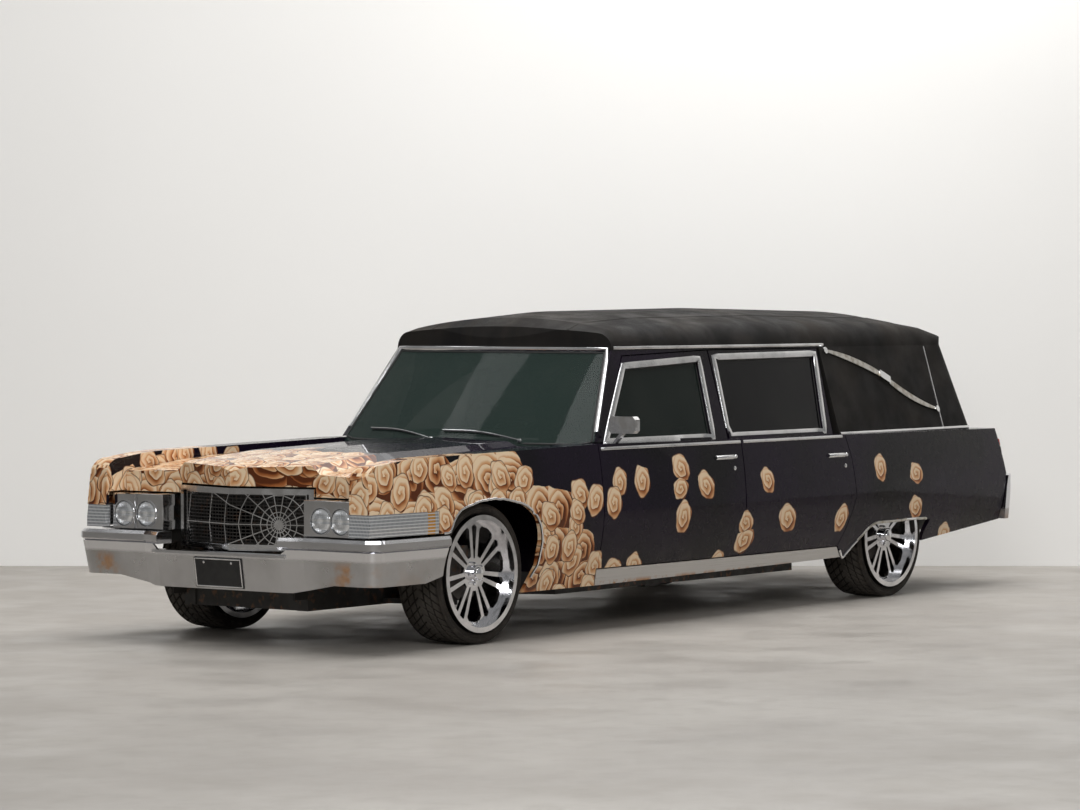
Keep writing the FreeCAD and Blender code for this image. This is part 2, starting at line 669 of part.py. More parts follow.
def door_body(outline, frame, window):
    """Its front edge is stepped back inside, so it turns clear of the frame it shuts on."""
    lower = cut_left(door_slab, outline)
    upper = cut_left(frame_shell, frame)
    front = min(corner[0] for corner in outline)
    step = block(front - 1, front + STEP, -DOOR_INNER - 40, -600, DOOR_BOTTOM - 1, 1000)
    return fused([lower, upper]).cut(side_prism(window, *LEFT_SIDE)).cut(step)


def rear_step(back, frame_back):
    """What a rear edge gives up behind its outer lip, so that it swings clear of the door behind it."""
    low = body_slab(26, 600, rounded=False).common(block(back - STEP, back + 1, -1200, -600, DOOR_BOTTOM - 1, GLASS_BASE))
    high = greenhouse(15).common(block(frame_back - STEP, back + 1, -1200, -600, GLASS_BASE, STEP_TOP))
    return fused([low, high])


def pane(window):
    """The glass fills its window less a hair, set back behind the frame's face."""
    return cut_left(glass_shell, window)


SCREEN_SLOPE = float(screen_top - screen_base) / float(dim.rail_height - dim.glass_base)


def post_line(height, offset):
    """The sloping front post's station at a height, so far behind the screen's corner."""
    return FRONT + float(screen_base) + (height - float(dim.glass_base)) * SCREEN_SLOPE + offset


front_edge = DOOR_FRONT
DOOR_GAP = 8.0
FRAME_GAP = 12.0
split_front = DOOR_SPLIT - DOOR_GAP / 2
split_rear = DOOR_SPLIT + DOOR_GAP / 2
frame_split_front = DOOR_SPLIT - FRAME_GAP / 2
frame_split_rear = DOOR_SPLIT + FRAME_GAP / 2
front_outline = [(front_edge, DOOR_BOTTOM), (split_front, DOOR_BOTTOM),
                 (split_front, shoulder_at(split_front)), (front_edge, shoulder_at(front_edge))]
front_frame = [(post_line(945, 62), 945), (frame_split_front, 945), (frame_split_front, DOOR_TOP),
               (post_line(1432, 104), 1432)]
front_window = [(post_line(990, 100), 990), (DOOR_SPLIT - 160, 984), (DOOR_SPLIT - 124, 1392),
                (post_line(1360, 150), 1362)]
rear_edge = DOOR_REAR
rear_outline = [(split_rear, DOOR_BOTTOM), (rear_edge - 134, DOOR_BOTTOM),
                (rear_edge, 610, rear_edge - 62, 470), (rear_edge - 28, 819),
                (rear_edge - 75, shoulder_at(rear_edge - 75)), (split_rear, shoulder_at(split_rear))]
rear_frame_line = [(frame_split_rear, 945), (rear_edge - 75, 945), (rear_edge - 24, DOOR_TOP),
                   (frame_split_rear, DOOR_TOP)]
rear_window = [(DOOR_SPLIT + 34, 984), (rear_edge - 168, 984), (rear_edge - 82, 1408), (DOOR_SPLIT + 64, 1400)]

door_front = door_body(front_outline, front_frame, front_window).cut(rear_step(split_front, frame_split_front))
door_rear = door_body(rear_outline, rear_frame_line, rear_window)
front_pane = pane(front_window)
rear_pane = pane(rear_window)
for name, left in (("door_front", door_front), ("door_rear", door_rear),
                   ("glass_front", front_pane), ("glass_rear", rear_pane)):
    feature(name + "_left", left)
    feature(name + "_right", mirrored(left))

# Mirror on the left front door: a stalk from the shoulder and a rectangular head with cut corners
MIRROR_X = DOOR_FRONT + 225.0
MIRROR_INNER, MIRROR_OUTER = HALF - 112, HALF + 58
MIRROR_LOW, MIRROR_HIGH, MIRROR_CUT = 1032.0, 1122.0, 16.0
stalk_foot = shoulder_at(MIRROR_X) - 1
stalk = cross_prism([(-HALF + 96, stalk_foot), (-HALF + 76, stalk_foot), (-HALF + 20, MIRROR_LOW + 5),
                     (-HALF + 44, MIRROR_LOW + 5)], MIRROR_X - 40, MIRROR_X - 12).cut(door_front)
head = cross_prism([(-MIRROR_OUTER, MIRROR_LOW + MIRROR_CUT), (-MIRROR_OUTER + MIRROR_CUT, MIRROR_LOW),
                    (-MIRROR_INNER - MIRROR_CUT, MIRROR_LOW), (-MIRROR_INNER, MIRROR_LOW + MIRROR_CUT),
                    (-MIRROR_INNER, MIRROR_HIGH - MIRROR_CUT), (-MIRROR_INNER - MIRROR_CUT, MIRROR_HIGH),
                    (-MIRROR_OUTER + MIRROR_CUT, MIRROR_HIGH), (-MIRROR_OUTER, MIRROR_HIGH - MIRROR_CUT)],
                   MIRROR_X - 50, MIRROR_X - 5)
feature("mirror_left", fused([stalk, head]))

# ---------------------------------------------------------------------------
# Side frames: posts and rails that the doors shut against
# ---------------------------------------------------------------------------
frame_slab = bowed([(FRAME_INNER, DOOR_BOTTOM - GAP), (DOOR_INNER - SEAT, DOOR_BOTTOM - GAP),
                    (DOOR_INNER - SEAT, 945), (FRAME_INNER, 945)])
frame_slab = frame_slab.cut(greenhouse(FRAME_DEPTH + SEAT).common(block(-4000, 4000, -1200, 0, 940, 960)))
FRAME_FRONT = DOOR_FRONT - GAP + SEAT
REAR_POST = rear_edge - 60
post_front = (DOOR_SPLIT - 90, DOOR_SPLIT + 50)
lower_frame = cut_left(frame_slab, [(FRAME_FRONT, DOOR_BOTTOM - GAP), (REAR_POST + 60, DOOR_BOTTOM - GAP),
                                    (REAR_POST + 60, 940), (FRAME_FRONT, 940)])
for opening in ([(DOOR_FRONT + 60, 372), (post_front[0], 372), (post_front[0], 940), (DOOR_FRONT + 60, 940)],
                [(post_front[1], 372), (REAR_POST - 140, 372), (REAR_POST - 30, 640), (REAR_POST - 50, 940),
                 (post_front[1], 940)]):
    lower_frame = lower_frame.cut(side_prism(opening, *LEFT_SIDE))
inner_line = [(post_line(940, 0), 940), (REAR_POST + 60, 940), (REAR_POST + 60, ROOF_BASE), (post_line(ROOF_BASE, 0), ROOF_BASE)]
ahead = greenhouse(0).common(block(-4000, post_line(GLASS_BASE, 0), -1200, 1200, 900, 1500))
inner_posts = cut_left(inner_post_shell.cut(ahead), inner_line)
for opening in ([(post_line(930, 100), 930), (post_front[0], 930), (post_front[0], 1420),
                 (post_line(1395, 140), 1395)],
                [(post_front[1], 930), (REAR_POST - 60, 930), (REAR_POST - 20, 1425), (post_front[1], 1425)]):
    inner_posts = inner_posts.cut(side_prism(opening, *LEFT_SIDE))
outer_line = [(post_line(940, 0), 940), (post_line(940, 62 - GAP), 940), (post_line(1432, 104 - GAP), 1438),
              (split_front, DOOR_TOP + GAP), (REAR_POST + 60, DOOR_TOP + GAP), (REAR_POST + 60, ROOF_BASE),
              (post_line(ROOF_BASE, 0), ROOF_BASE)]
outer_posts = cut_left(post_shell, outer_line)
door_space = cut_left(body_slab(-5, DOOR_INNER - SEAT),
                      [(DOOR_FRONT - GAP, 600), (DOOR_REAR, 600), (DOOR_REAR, shoulder_at(DOOR_REAR) + GAP),
                       (DOOR_FRONT - GAP, shoulder_at(DOOR_FRONT) + GAP)])
SHELF = DOOR_REAR + GAP - 60
SHELF_DEPTH = 14.0
TAIL_TOP = REAR + 1258.0
shelf_line = [(SHELF, shoulder_at(SHELF)), (TAIL_TOP, shoulder_at(TAIL_TOP)),
              (TAIL_TOP, shoulder_at(TAIL_TOP) - SHELF_DEPTH), (SHELF, shoulder_at(SHELF) - SHELF_DEPTH)]
shelf = cut_left(body_slab(0, 760), shelf_line)
side_frame = fused([lower_frame, inner_posts, outer_posts]).cut(door_space).cut(shelf)
feature("side_frames", Part.makeCompound(both_sides(side_frame)))

ROCKER_REAR = DOOR_REAR + GAP - 88
rocker = cut_left(body_slab(0, FRAME_INNER),
                  [(DOOR_FRONT, 240), (ROCKER_REAR, 262), (ROCKER_REAR - 54, DOOR_BOTTOM - GAP),
                   (DOOR_FRONT, DOOR_BOTTOM - GAP)])
feature("rockers", Part.makeCompound(both_sides(rocker)))

# ---------------------------------------------------------------------------
# Screen, cowl and roof
# ---------------------------------------------------------------------------
SCREEN_REACH = 250.0
COWL_TOP = 958.0
SCREEN_FOOT = COWL_TOP + SEAT
screen_zone = [(post_line(940, -SCREEN_REACH), SCREEN_FOOT), (post_line(SCREEN_FOOT, -SEAT), SCREEN_FOOT),
               (post_line(ROOF_BASE, -SEAT), ROOF_BASE), (post_line(ROOF_BASE, -SCREEN_REACH), ROOF_BASE)]
screen_shell = greenhouse(4).cut(greenhouse(4 + float(dim.glass_thickness)))
windscreen = screen_shell.common(side_prism(screen_zone, -1000, 1000))
feature("windscreen", windscreen.cut(Part.makeCompound(both_sides(door_space))))

HOOD_HALF = float(dim.body_half_width - dim.fender_width)
HOOD_REAR = DOOR_FRONT - 15.0
HOOD_BOW = 95.0
HOOD_GAP = float(dim.hood_gap)


def hood_rear_edge(offset, half):
    """Plan line of the hood's rear edge, bowed forward at the middle, so far behind it."""
    return [(HOOD_REAR + offset, half), (HOOD_REAR + offset, -half, HOOD_REAR - HOOD_BOW + offset, 0)]


screen_foot = FRONT + float(screen_base)
BLADE_INNER = HOOD_HALF + HOOD_GAP
COWL_HALF = DOOR_INNER - SEAT - bow_at(DOOR_FRONT)
cowl_sides = [(HOOD_REAR + HOOD_GAP, BLADE_INNER - SEAT), (DOOR_FRONT - GAP + SEAT, BLADE_INNER - SEAT),
              (DOOR_FRONT - GAP + SEAT, COWL_HALF), (screen_foot + 60, COWL_HALF)]
cowl_top = plan_prism(hood_rear_edge(HOOD_GAP, HOOD_HALF) + [(x, -y) for x, y in cowl_sides] + cowl_sides[::-1],
                      COWL_TOP - 16, COWL_TOP)
cowl_top = cowl_top.cut(greenhouse(4))
FIREWALL_HALF = BLADE_INNER - SEAT
firewall = block(FIREWALL - 15, FIREWALL, -FIREWALL_HALF, FIREWALL_HALF, FRAME_TOP, COWL_TOP - 10)
scuttle = block(FIREWALL - 15, screen_foot - 60, -FIREWALL_HALF, FIREWALL_HALF, COWL_TOP - 46, COWL_TOP - 30)
scuttle_back = block(screen_foot - 76, screen_foot - 60, -FIREWALL_HALF, FIREWALL_HALF, COWL_TOP - 46, COWL_TOP)
scuttle_back = scuttle_back.cut(greenhouse(4))
hood_notch = plan_prism(hood_rear_edge(HOOD_GAP, HOOD_HALF) +
                        [(HOOD_REAR + HOOD_GAP, -900), (-4000, -900), (-4000, 900), (HOOD_REAR + HOOD_GAP, 900)],
                        COWL_TOP - 29, 1200)
gearbox_hole = Part.makeCylinder(112, 400, Vector(FIREWALL - 100, 0, GEARBOX_Z), X_AXIS)
cowl = fused([cowl_top, firewall, scuttle, scuttle_back]).cut(hood_notch).cut(gearbox_hole)
feature("cowl", cowl.cut(Part.makeCompound(both_sides(side_frame))))

ROOF_WALL = float(dim.roof_wall)
CROWN = float(dim.roof_crown)
# Roof stations: X, height of the crest
SCREEN_HEAD = FRONT + float(screen_top)
RAIL_TAIL = REAR + float(dim.tail_top)
ROOF_STATIONS = [
    (SCREEN_HEAD - 61, ROOF_BASE + 60),
    (SCREEN_HEAD - 42, ROOF_BASE + 126),
    (SCREEN_HEAD + 70, ROOF_BASE + 174),
    (SCREEN_HEAD + 520, CROWN - 16),
    (SCREEN_HEAD + 1720, CROWN),
    (RAIL_TAIL - 580, CROWN - 20),
    (RAIL_TAIL - 230, CROWN - 68),
    (RAIL_TAIL - 70, CROWN - 132),
    (RAIL_TAIL + 2, CROWN - 186),
]


def roof_section(x, crest, wall):
    """A three-centred arch: tight curves up from the rails and one wide curve; the liner's is cut in straight runs."""
    half = float(rail_half_width) - bow_at(x) - wall
    rise = crest - wall - ROOF_BASE
    side = 0.67 * rise
    top = ((half - side) ** 2 + rise ** 2 - side ** 2) / (2 * (rise - side))
    lean = math.atan2(half - side, top - rise)
    join = (top * math.sin(lean), crest - wall - top + top * math.cos(lean))
    middle = (half - side + side * math.cos((math.pi / 2 - lean) / 2),
              ROOF_BASE + side * math.sin((math.pi / 2 - lean) / 2))
    if wall:
        path = [(half, ROOF_BASE), (-half, ROOF_BASE), (-middle[0], middle[1]), (-join[0], join[1]),
                (0, crest - wall), join, middle]
    else:
        path = [(half, ROOF_BASE) + middle, (-half, ROOF_BASE), (-join[0], join[1], -middle[0], middle[1]),
                (join[0], join[1], 0, crest)]
    return closed_wire(path, lambda y, z: Vector(x, y, z))


roof_outer = Part.makeLoft([roof_section(x, crest, 0) for x, crest in ROOF_STATIONS], True, True)
roof_inner = Part.makeLoft([roof_section(x, crest, ROOF_WALL) for x, crest in ROOF_STATIONS[2:-2]], True, True)
rail_outline = greenhouse_outline(0, ROOF_BASE, float(rail_half_width), SCREEN_HEAD,
                                  float(dim.screen_top_bulge), RAIL_TAIL)
roof_zone = Part.Face(rail_outline).extrude(Vector(0, 0, 400))
roof_inner.translate(Vector(0, 0, -0.01))
feature("roof", roof_outer.cut(roof_inner).common(roof_zone))

# ---------------------------------------------------------------------------
# Front fenders: outer skin with the wheel opening, a raised top blade, and the inner apron
# ---------------------------------------------------------------------------
SKIN = float(dim.skin)
skin_shell = body_slab(0, 600).cut(body_slab(SKIN, 590, rounded=False))
TIP = FRONT - 892.0
LAMP_TOP = 690.0
LAMP_BOTTOM = 577.0
LAMP_REAR = FRONT - 378.0
fender_top = [(TIP, 872), (TIP + 108, 926, TIP + 34, 907), (FRONT - 428, 955, TIP + 260, 944),
              (DOOR_FRONT - GAP, shoulder_at(DOOR_FRONT))]
fender_outline = fender_top + [
    (DOOR_FRONT - GAP, 240), (FRONT + 366, 240), (FRONT + 455, 379), (FRONT + 461, 504),
    (FRONT + 245, 706, FRONT + 408, 622), (FRONT - 140, 704, FRONT + 40, 731),
    (FRONT - 282, 596, FRONT - 240, 662), (FRONT - 296, LAMP_BOTTOM), (LAMP_REAR + GAP, LAMP_BOTTOM),
    (LAMP_REAR + GAP, LAMP_TOP), (TIP - 8, LAMP_TOP)]
fender_skin = cut_left(skin_shell, fender_outline)
blade_band = [(TIP, 872), (TIP + 108, 926, TIP + 34, 907), (FRONT - 428, 955, TIP + 260, 944),
              (DOOR_FRONT - GAP, shoulder_at(DOOR_FRONT)), (DOOR_FRONT - GAP, shoulder_at(DOOR_FRONT) - SKIN),
              (FRONT - 428, 955 - SKIN), (TIP + 112, 926 - SKIN, TIP + 260, 944 - SKIN),
              (TIP + SKIN, 866, TIP + 44, 894), (TIP + SKIN - 8, LAMP_TOP), (TIP - 8, LAMP_TOP)]
beside_hood = body_slab(0, 600).common(block(-4000, 0, -1200, -BLADE_INNER, 0, 2000))
blade = cut_left(beside_hood, blade_band)
blade_volume = cut_left(beside_hood, fender_top + [(DOOR_FRONT - GAP, 800), (TIP - 8, 757)])
blade_wall = blade_volume.common(block(TIP - 20, DOOR_FRONT - GAP, -BLADE_INNER - 14, -600, 700, 1000))
APRON_Z = 755.0
APRON_REAR = FIREWALL - 15 - SEAT
apron = block(FRONT - 560, APRON_REAR, -BLADE_INNER - 14, -rail_outer, APRON_Z, APRON_Z + 8)
apron_wall = block(FRONT - 560, APRON_REAR, -rail_outer, -rail_outer + 8, FRAME_TOP, APRON_Z + 8)
apron_wall = apron_wall.cut(block(FRONT - 150, FRONT + 150, -1000, 0, 0, UPPER_JOINT + 40))
upstand = block(FRONT - 560, APRON_REAR, -BLADE_INNER - 14, -BLADE_INNER, APRON_Z, 850)
# ---------------------------------------------------------------------------
# Hood: a raised middle between flat shoulders, with a rolled nose that follows the grille's prow
# ---------------------------------------------------------------------------
HOOD_SKIN = float(dim.hood_skin)
RISE = float(dim.hood_rise)
EDGE_REAR, EDGE_FRONT = float(dim.hood_edge_rear), float(dim.hood_edge_front)
NOSE = FRONT - 859.0
NOSE_WING = FRONT - 719.0
GRILLE_HALF = float(dim.grille_half_width)


def hood_section(x, edge, rise, drop, half):
    """Cross-section from the flat bottom up to the hood's top, lowered by a wall."""
    return closed_wire([(-half, 600), (half, 600), (half, edge - drop), (GRILLE_HALF + 30, edge + 5 - drop),
                        (GRILLE_HALF - 20, edge + 5 + rise - drop), (0, edge + 20 + rise - drop),
                        (-GRILLE_HALF + 20, edge + 5 + rise - drop), (-GRILLE_HALF - 30, edge + 5 - drop),
                        (-half, edge - drop)], lambda y, z: Vector(x, y, z))


# Hood stations: X, height of the side edge, rise of the middle
HOOD_STATIONS = [
    (NOSE - 30, EDGE_FRONT - 60, RISE - 14),
    (NOSE + 30, EDGE_FRONT - 26, RISE),
    (FRONT - 700, EDGE_FRONT, RISE),
    (FRONT - 190, EDGE_FRONT + 48, RISE - 6),
    (DOOR_FRONT, EDGE_REAR, RISE - 20),
]


def hood_volume(drop, half):
    return Part.makeLoft([hood_section(x, edge, rise, drop, half) for x, edge, rise in HOOD_STATIONS], True, True)


def hood_plan(offset, half):
    return [(HOOD_REAR + 2 * offset, half), (HOOD_REAR + 2 * offset, -half, HOOD_REAR - HOOD_BOW + 2 * offset, 0),
            (NOSE_WING - 34 + offset, -half), (NOSE_WING + offset, -GRILLE_HALF), (NOSE + offset, 0),
            (NOSE_WING + offset, GRILLE_HALF), (NOSE_WING - 34 + offset, half)]


hood_outer = hood_volume(0, HOOD_HALF).common(plan_prism(hood_plan(0, HOOD_HALF), 600, 1200))
hood_inner = hood_volume(HOOD_SKIN, HOOD_HALF + 40)
hood_inner = hood_inner.common(plan_prism(hood_plan(HOOD_SKIN, HOOD_HALF + 30), 500, 1200))
hood = hood_outer.cut(hood_inner)
hood = hood.cut(block(-4000, 0, -HOOD_HALF - 10, HOOD_HALF + 10, 500, 757))
hood = hood.cut(block(-4000, 0, -GRILLE_HALF - 4, GRILLE_HALF + 4, 500, 806))
feature("hood", hood)

# A ledge along each fender carries the hood's edge when it is shut
LEDGE = 10.0
ledge_zone = block(NOSE_WING + 30, APRON_REAR, -BLADE_INNER - 8, -HOOD_HALF + 40, 700, 1000)
ledge = ledge_zone.common(hood_volume(HOOD_SKIN + SEAT, HOOD_HALF + 40))
ledge = ledge.cut(hood_volume(HOOD_SKIN + SEAT + LEDGE, HOOD_HALF + 60))
fender = fused([fender_skin, blade, blade_wall, apron, apron_wall, upstand, ledge])
feature("front_fenders", Part.makeCompound(both_sides(fender)))

# ---------------------------------------------------------------------------
# Header, grille and lamps
# ---------------------------------------------------------------------------
WING = FRONT - float(dim.grille_wing)
DEPTH = float(dim.grille_depth)
HEADER = WING + DEPTH + SEAT
header = block(HEADER, HEADER + 18, -BLADE_INNER + 6, BLADE_INNER - 6, 500, 752)
header = header.cut(block(HEADER - 10, HEADER + 30, -GRILLE_HALF + 60, GRILLE_HALF - 60, 530, 700))
legs = [block(HEADER, HEADER + 18, y, y + 2 * RAIL_HALF, FRAME_TOP, 500)
        for y in (-rail_outer, rail_outer - 2 * RAIL_HALF)]
feature("front_header", fused([header] + legs))

PROW = FRONT - 868.0
GRILLE_TOP, GRILLE_BOTTOM = float(dim.grille_top), float(dim.grille_bottom)
BAR = float(dim.grille_bar)


def prow_band(offset, depth, half):
    """Plan of a band that follows the grille's prow, set back by an offset."""
    return [(WING + offset, -half), (PROW + offset, 0), (WING + offset, half), (WING + offset + depth, half),
            (PROW + offset + depth, 0), (WING + offset + depth, -half)]


grille_block = plan_prism(prow_band(0, DEPTH, GRILLE_HALF), GRILLE_BOTTOM, GRILLE_TOP)
grille_hole = block(-4000, 0, -GRILLE_HALF + BAR, GRILLE_HALF - BAR, GRILLE_BOTTOM + BAR, GRILLE_TOP - BAR)
feature("grille_frame", grille_block.cut(grille_hole))

MESH_SETBACK = 26.0
mesh_plate = plan_prism(prow_band(MESH_SETBACK, 12, GRILLE_HALF - BAR), GRILLE_BOTTOM + BAR, GRILLE_TOP - BAR)
cells = []
MESH_COLUMNS, MESH_ROWS = 14, 5
cell_width = (2 * (GRILLE_HALF - BAR)) / MESH_COLUMNS
cell_height = (GRILLE_TOP - GRILLE_BOTTOM - 2 * BAR) / MESH_ROWS
for column in range(MESH_COLUMNS):
    for level in range(MESH_ROWS):
        y = -GRILLE_HALF + BAR + column * cell_width
        z = GRILLE_BOTTOM + BAR + level * cell_height
        cells.append(block(-4000, 0, y + 4, y + cell_width - 4, z + 4, z + cell_height - 4))
feature("grille_mesh", mesh_plate.cut(Part.makeCompound(cells)))

# The web: cells between radial strands and rings are cut from a thin plate, half a prow at a time
WEB_SETBACK = 8.0
WEB_DEPTH = 5.0
WEB_HUB_Y, WEB_HUB_Z = -0.262, 0.52
web_half = GRILLE_HALF - BAR
web_low, web_high = GRILLE_BOTTOM + BAR, GRILLE_TOP - BAR
web_hub = (WEB_HUB_Y * 1000, web_low + WEB_HUB_Z * (web_high - web_low) * 0.78)
strands = int(float(dim.web_spokes))
rings = int(float(dim.web_rings))
STRAND = float(dim.web_strand)
web_plate = block(-WEB_DEPTH / 2, WEB_DEPTH / 2, -web_half, web_half, web_low, web_high)


def web_point(step, radius):
    angle = 2 * math.pi * step / strands
    return (web_hub[0] + radius * math.cos(angle), web_hub[1] + radius * math.sin(angle))


web_cells = []
ring_radius = 22.0
for ring in range(rings):
    next_radius = ring_radius * 1.42 + 8
    for step in range(strands):
        low_half = STRAND / ring_radius / 2
        high_half = STRAND / next_radius / 2
        ratio = strands / (2 * math.pi)
        cell = [web_point(step + low_half * ratio, ring_radius + STRAND / 2),
                web_point(step + high_half * ratio, next_radius - STRAND / 2),
                web_point(step + 1 - high_half * ratio, next_radius - STRAND / 2),
                web_point(step + 1 - low_half * ratio, ring_radius + STRAND / 2)]
        if any(abs(y) < web_half and web_low < z < web_high for y, z in cell):
            web_cells.append(cross_prism(cell, -WEB_DEPTH, WEB_DEPTH))
    ring_radius = next_radius
web_flat = web_plate.cut(Part.makeCompound(web_cells))
rim_band = web_plate.cut(block(-100, 100, -web_half + 5, web_half - 5, web_low + 5, web_high - 5))
web_flat = fused([web_flat, rim_band])
fold = math.degrees(math.atan2(WING - PROW, GRILLE_HALF))
web_halves = []
for sign in (-1, 1):
    near, far = sorted((0, sign * web_half))
    half_web = web_flat.common(block(-100, 100, near, far, 0, 2000))
    half_web.rotate(ORIGIN, Z_AXIS, -sign * fold)
    half_web.translate(Vector(PROW + WEB_SETBACK + WEB_DEPTH, 0, 0))
    web_halves.append(half_web)
web = fused(web_halves)
feature("grille_web", web.common(block(-4000, 0, -web_half, web_half, web_low, web_high)))

LAMP = float(dim.lamp_radius)
BEZEL_INNER, BEZEL_OUTER = GRILLE_HALF + 22.0, HOOD_HALF + 4
BEZEL_LOW, BEZEL_HIGH = 556.0, 752.0
BEZEL_FACE = FRONT - 742.0
lamp_centres = [(BEZEL_INNER + 40 + LAMP, 648), (BEZEL_OUTER - 8 - LAMP, 648)]
bezel = plan_prism([(HEADER - SEAT, -BEZEL_INNER), (BEZEL_FACE, -BEZEL_INNER), (BEZEL_FACE - 36, -BEZEL_OUTER),
                    (HEADER - SEAT, -BEZEL_OUTER)], BEZEL_LOW, BEZEL_HIGH)
lenses = []
for lamp_y, lamp_z in lamp_centres:
    centre = Vector(HEADER - 200, -lamp_y, lamp_z)
    bezel = bezel.cut(Part.makeCylinder(LAMP + 3, 220, centre, X_AXIS))
    ball = Part.makeSphere(2.4 * LAMP, Vector(HEADER - 45 + 2.2 * LAMP, -lamp_y, lamp_z))
    barrel = Part.makeCylinder(LAMP, 80, Vector(HEADER - SEAT - 80, -lamp_y, lamp_z), X_AXIS)
    lenses.append(ball.common(barrel))
feature("headlamp_bezels", Part.makeCompound(both_sides(bezel)))
feature("headlamp_lenses", Part.makeCompound([copy for lens in lenses for copy in both_sides(lens)]))

corner_slab = body_slab(2, 600).cut(body_slab(40, 500).common(block(TIP + 26, 0, -1200, 0, 0, 1500)))
corner_slab = corner_slab.common(block(-4000, 0, -1200, -BEZEL_OUTER - 6, 0, 2000))
corner_lamp = cut_left(corner_slab, [(TIP - 14, LAMP_BOTTOM + SEAT), (LAMP_REAR, LAMP_BOTTOM + SEAT),
                                     (LAMP_REAR, LAMP_TOP - SEAT), (TIP - 4, LAMP_TOP - SEAT)])
feature("corner_lamps", Part.makeCompound(both_sides(corner_lamp)))

# ---------------------------------------------------------------------------
# Bumpers
# ---------------------------------------------------------------------------
BUMPER_FACE = float(-overall_length / 2)


BUMPER_SIDE = HALF - 12
BUMPER_REAR = FRONT - 325
BUMPER_CORNER = 80.0
CENTRE_HALF, VALLEY = 400.0, 520.0
RIDGE_LOW, RIDGE_HIGH, RIDGE_INNER = 506.0, 566.0, 395.0
APRON_LOW, APRON_TOP_INSET, APRON_LOW_INSET = 288.0, 8.0, 42.0
APRON_THICK = 14.0


def bumper_outline(front_inset, side_inset, height):
    """The bumper's plan at a height: a centre section ahead of two wings that wrap the corners."""
    nose = BUMPER_FACE + front_inset
    wing = nose + 34
    side = BUMPER_SIDE - side_inset
    turn = BUMPER_CORNER * (1 - math.sqrt(0.5))
    path = [(nose, CENTRE_HALF), (nose, -CENTRE_HALF), (wing + 8, -VALLEY), (wing, -side + BUMPER_CORNER),
            (wing + BUMPER_CORNER, -side, wing + turn, -side + turn), (BUMPER_REAR, -side), (BUMPER_REAR, side),
            (wing + BUMPER_CORNER, side), (wing, side - BUMPER_CORNER, wing + turn, side - turn),
            (wing + 8, VALLEY)]
    return closed_wire(path, lambda x, y: Vector(x, y, height))


def bumper_volume(levels):
    return Part.makeLoft([bumper_outline(*level) for level in levels], True, True)


ridge = bumper_volume([(16, 16, RIDGE_LOW), (2, 2, RIDGE_LOW + 14), (2, 2, RIDGE_HIGH - 16), (16, 14, RIDGE_HIGH)])
ridge = ridge.cut(Part.Face(bumper_outline(118, 40, RIDGE_LOW - 1)).extrude(Vector(0, 0, 70)))
ridge = ridge.cut(block(-4000, 0, -RIDGE_INNER, RIDGE_INNER, 0, 2000))
apron_outer = bumper_volume([(APRON_LOW_INSET, 34, APRON_LOW), (APRON_TOP_INSET, 10, RIDGE_LOW)])
apron_inner = bumper_volume([(APRON_LOW_INSET + APRON_THICK, 34 + APRON_THICK, APRON_LOW),
                             (APRON_TOP_INSET + APRON_THICK, 10 + APRON_THICK, RIDGE_LOW)])
LIP_LOW, LIP_HIGH, LIP_HALF = 466.0, 480.0, 436.0
apron_front = cross_prism([(-1200, 338), (-700, 338), (-450, 293), (450, 293), (700, 338), (1200, 338),
                           (1200, RIDGE_LOW), (LIP_HALF, RIDGE_LOW), (CENTRE_HALF, LIP_HIGH - 2),
                           (-CENTRE_HALF, LIP_HIGH - 2), (-LIP_HALF, RIDGE_LOW), (-1200, RIDGE_LOW)],
                          BUMPER_FACE - 50, 0)
apron_side = side_prism([(BUMPER_FACE - 50, 200), (FRONT - 502, 200), (FRONT - 502, 338), (FRONT - 367, 367),
                         (FRONT - 339, 437), (FRONT - 335, RIDGE_LOW), (BUMPER_FACE - 50, RIDGE_LOW)], -1200, 1200)
bumper_apron = apron_outer.cut(apron_inner).common(apron_front).common(apron_side)
lip = Part.Face(bumper_outline(0, 12, LIP_LOW)).extrude(Vector(0, 0, LIP_HIGH - LIP_LOW))
lip = lip.common(block(BUMPER_FACE - 10, BUMPER_FACE + 70, -LIP_HALF, LIP_HALF, 0, 2000))
iron_upper = block(BUMPER_FACE + 50, FRONT - 740 - SEAT, -rail_outer, -rail_outer + 12, 300, 440)
iron_lower = block(BUMPER_FACE + 130, FRONT - 740 - SEAT, -rail_outer, -rail_outer + 12, FRAME_TOP - 60, 310)
irons = both_sides(fused([iron_upper, iron_lower]))
wheel_sweep = Part.makeCylinder(float(dim.tyre_radius) + 9, 2400, Vector(FRONT, -1200, WHEEL_Z), Y_AXIS)
front_bumper = fused([ridge, bumper_apron, lip] + irons).cut(wheel_sweep)
feature("front_bumper", front_bumper)


def apron_face(z):
    """Outer face of the apron's centre section at a height, less a hair for what hangs on it."""
    slope = (APRON_LOW_INSET - APRON_TOP_INSET) / (RIDGE_LOW - APRON_LOW)
    return BUMPER_FACE + APRON_TOP_INSET + slope * (RIDGE_LOW - z) - SEAT


PLATE_LOW, PLATE_HIGH, PLATE_HALF, PLATE_THICK = 302.0, 452.0, 155.0, 6.0
plate_line = [(apron_face(PLATE_LOW), PLATE_LOW), (apron_face(PLATE_HIGH), PLATE_HIGH),
              (apron_face(PLATE_HIGH) - PLATE_THICK, PLATE_HIGH), (apron_face(PLATE_LOW) - PLATE_THICK, PLATE_LOW)]
feature("number_plate", side_prism(plate_line, -PLATE_HALF, PLATE_HALF))

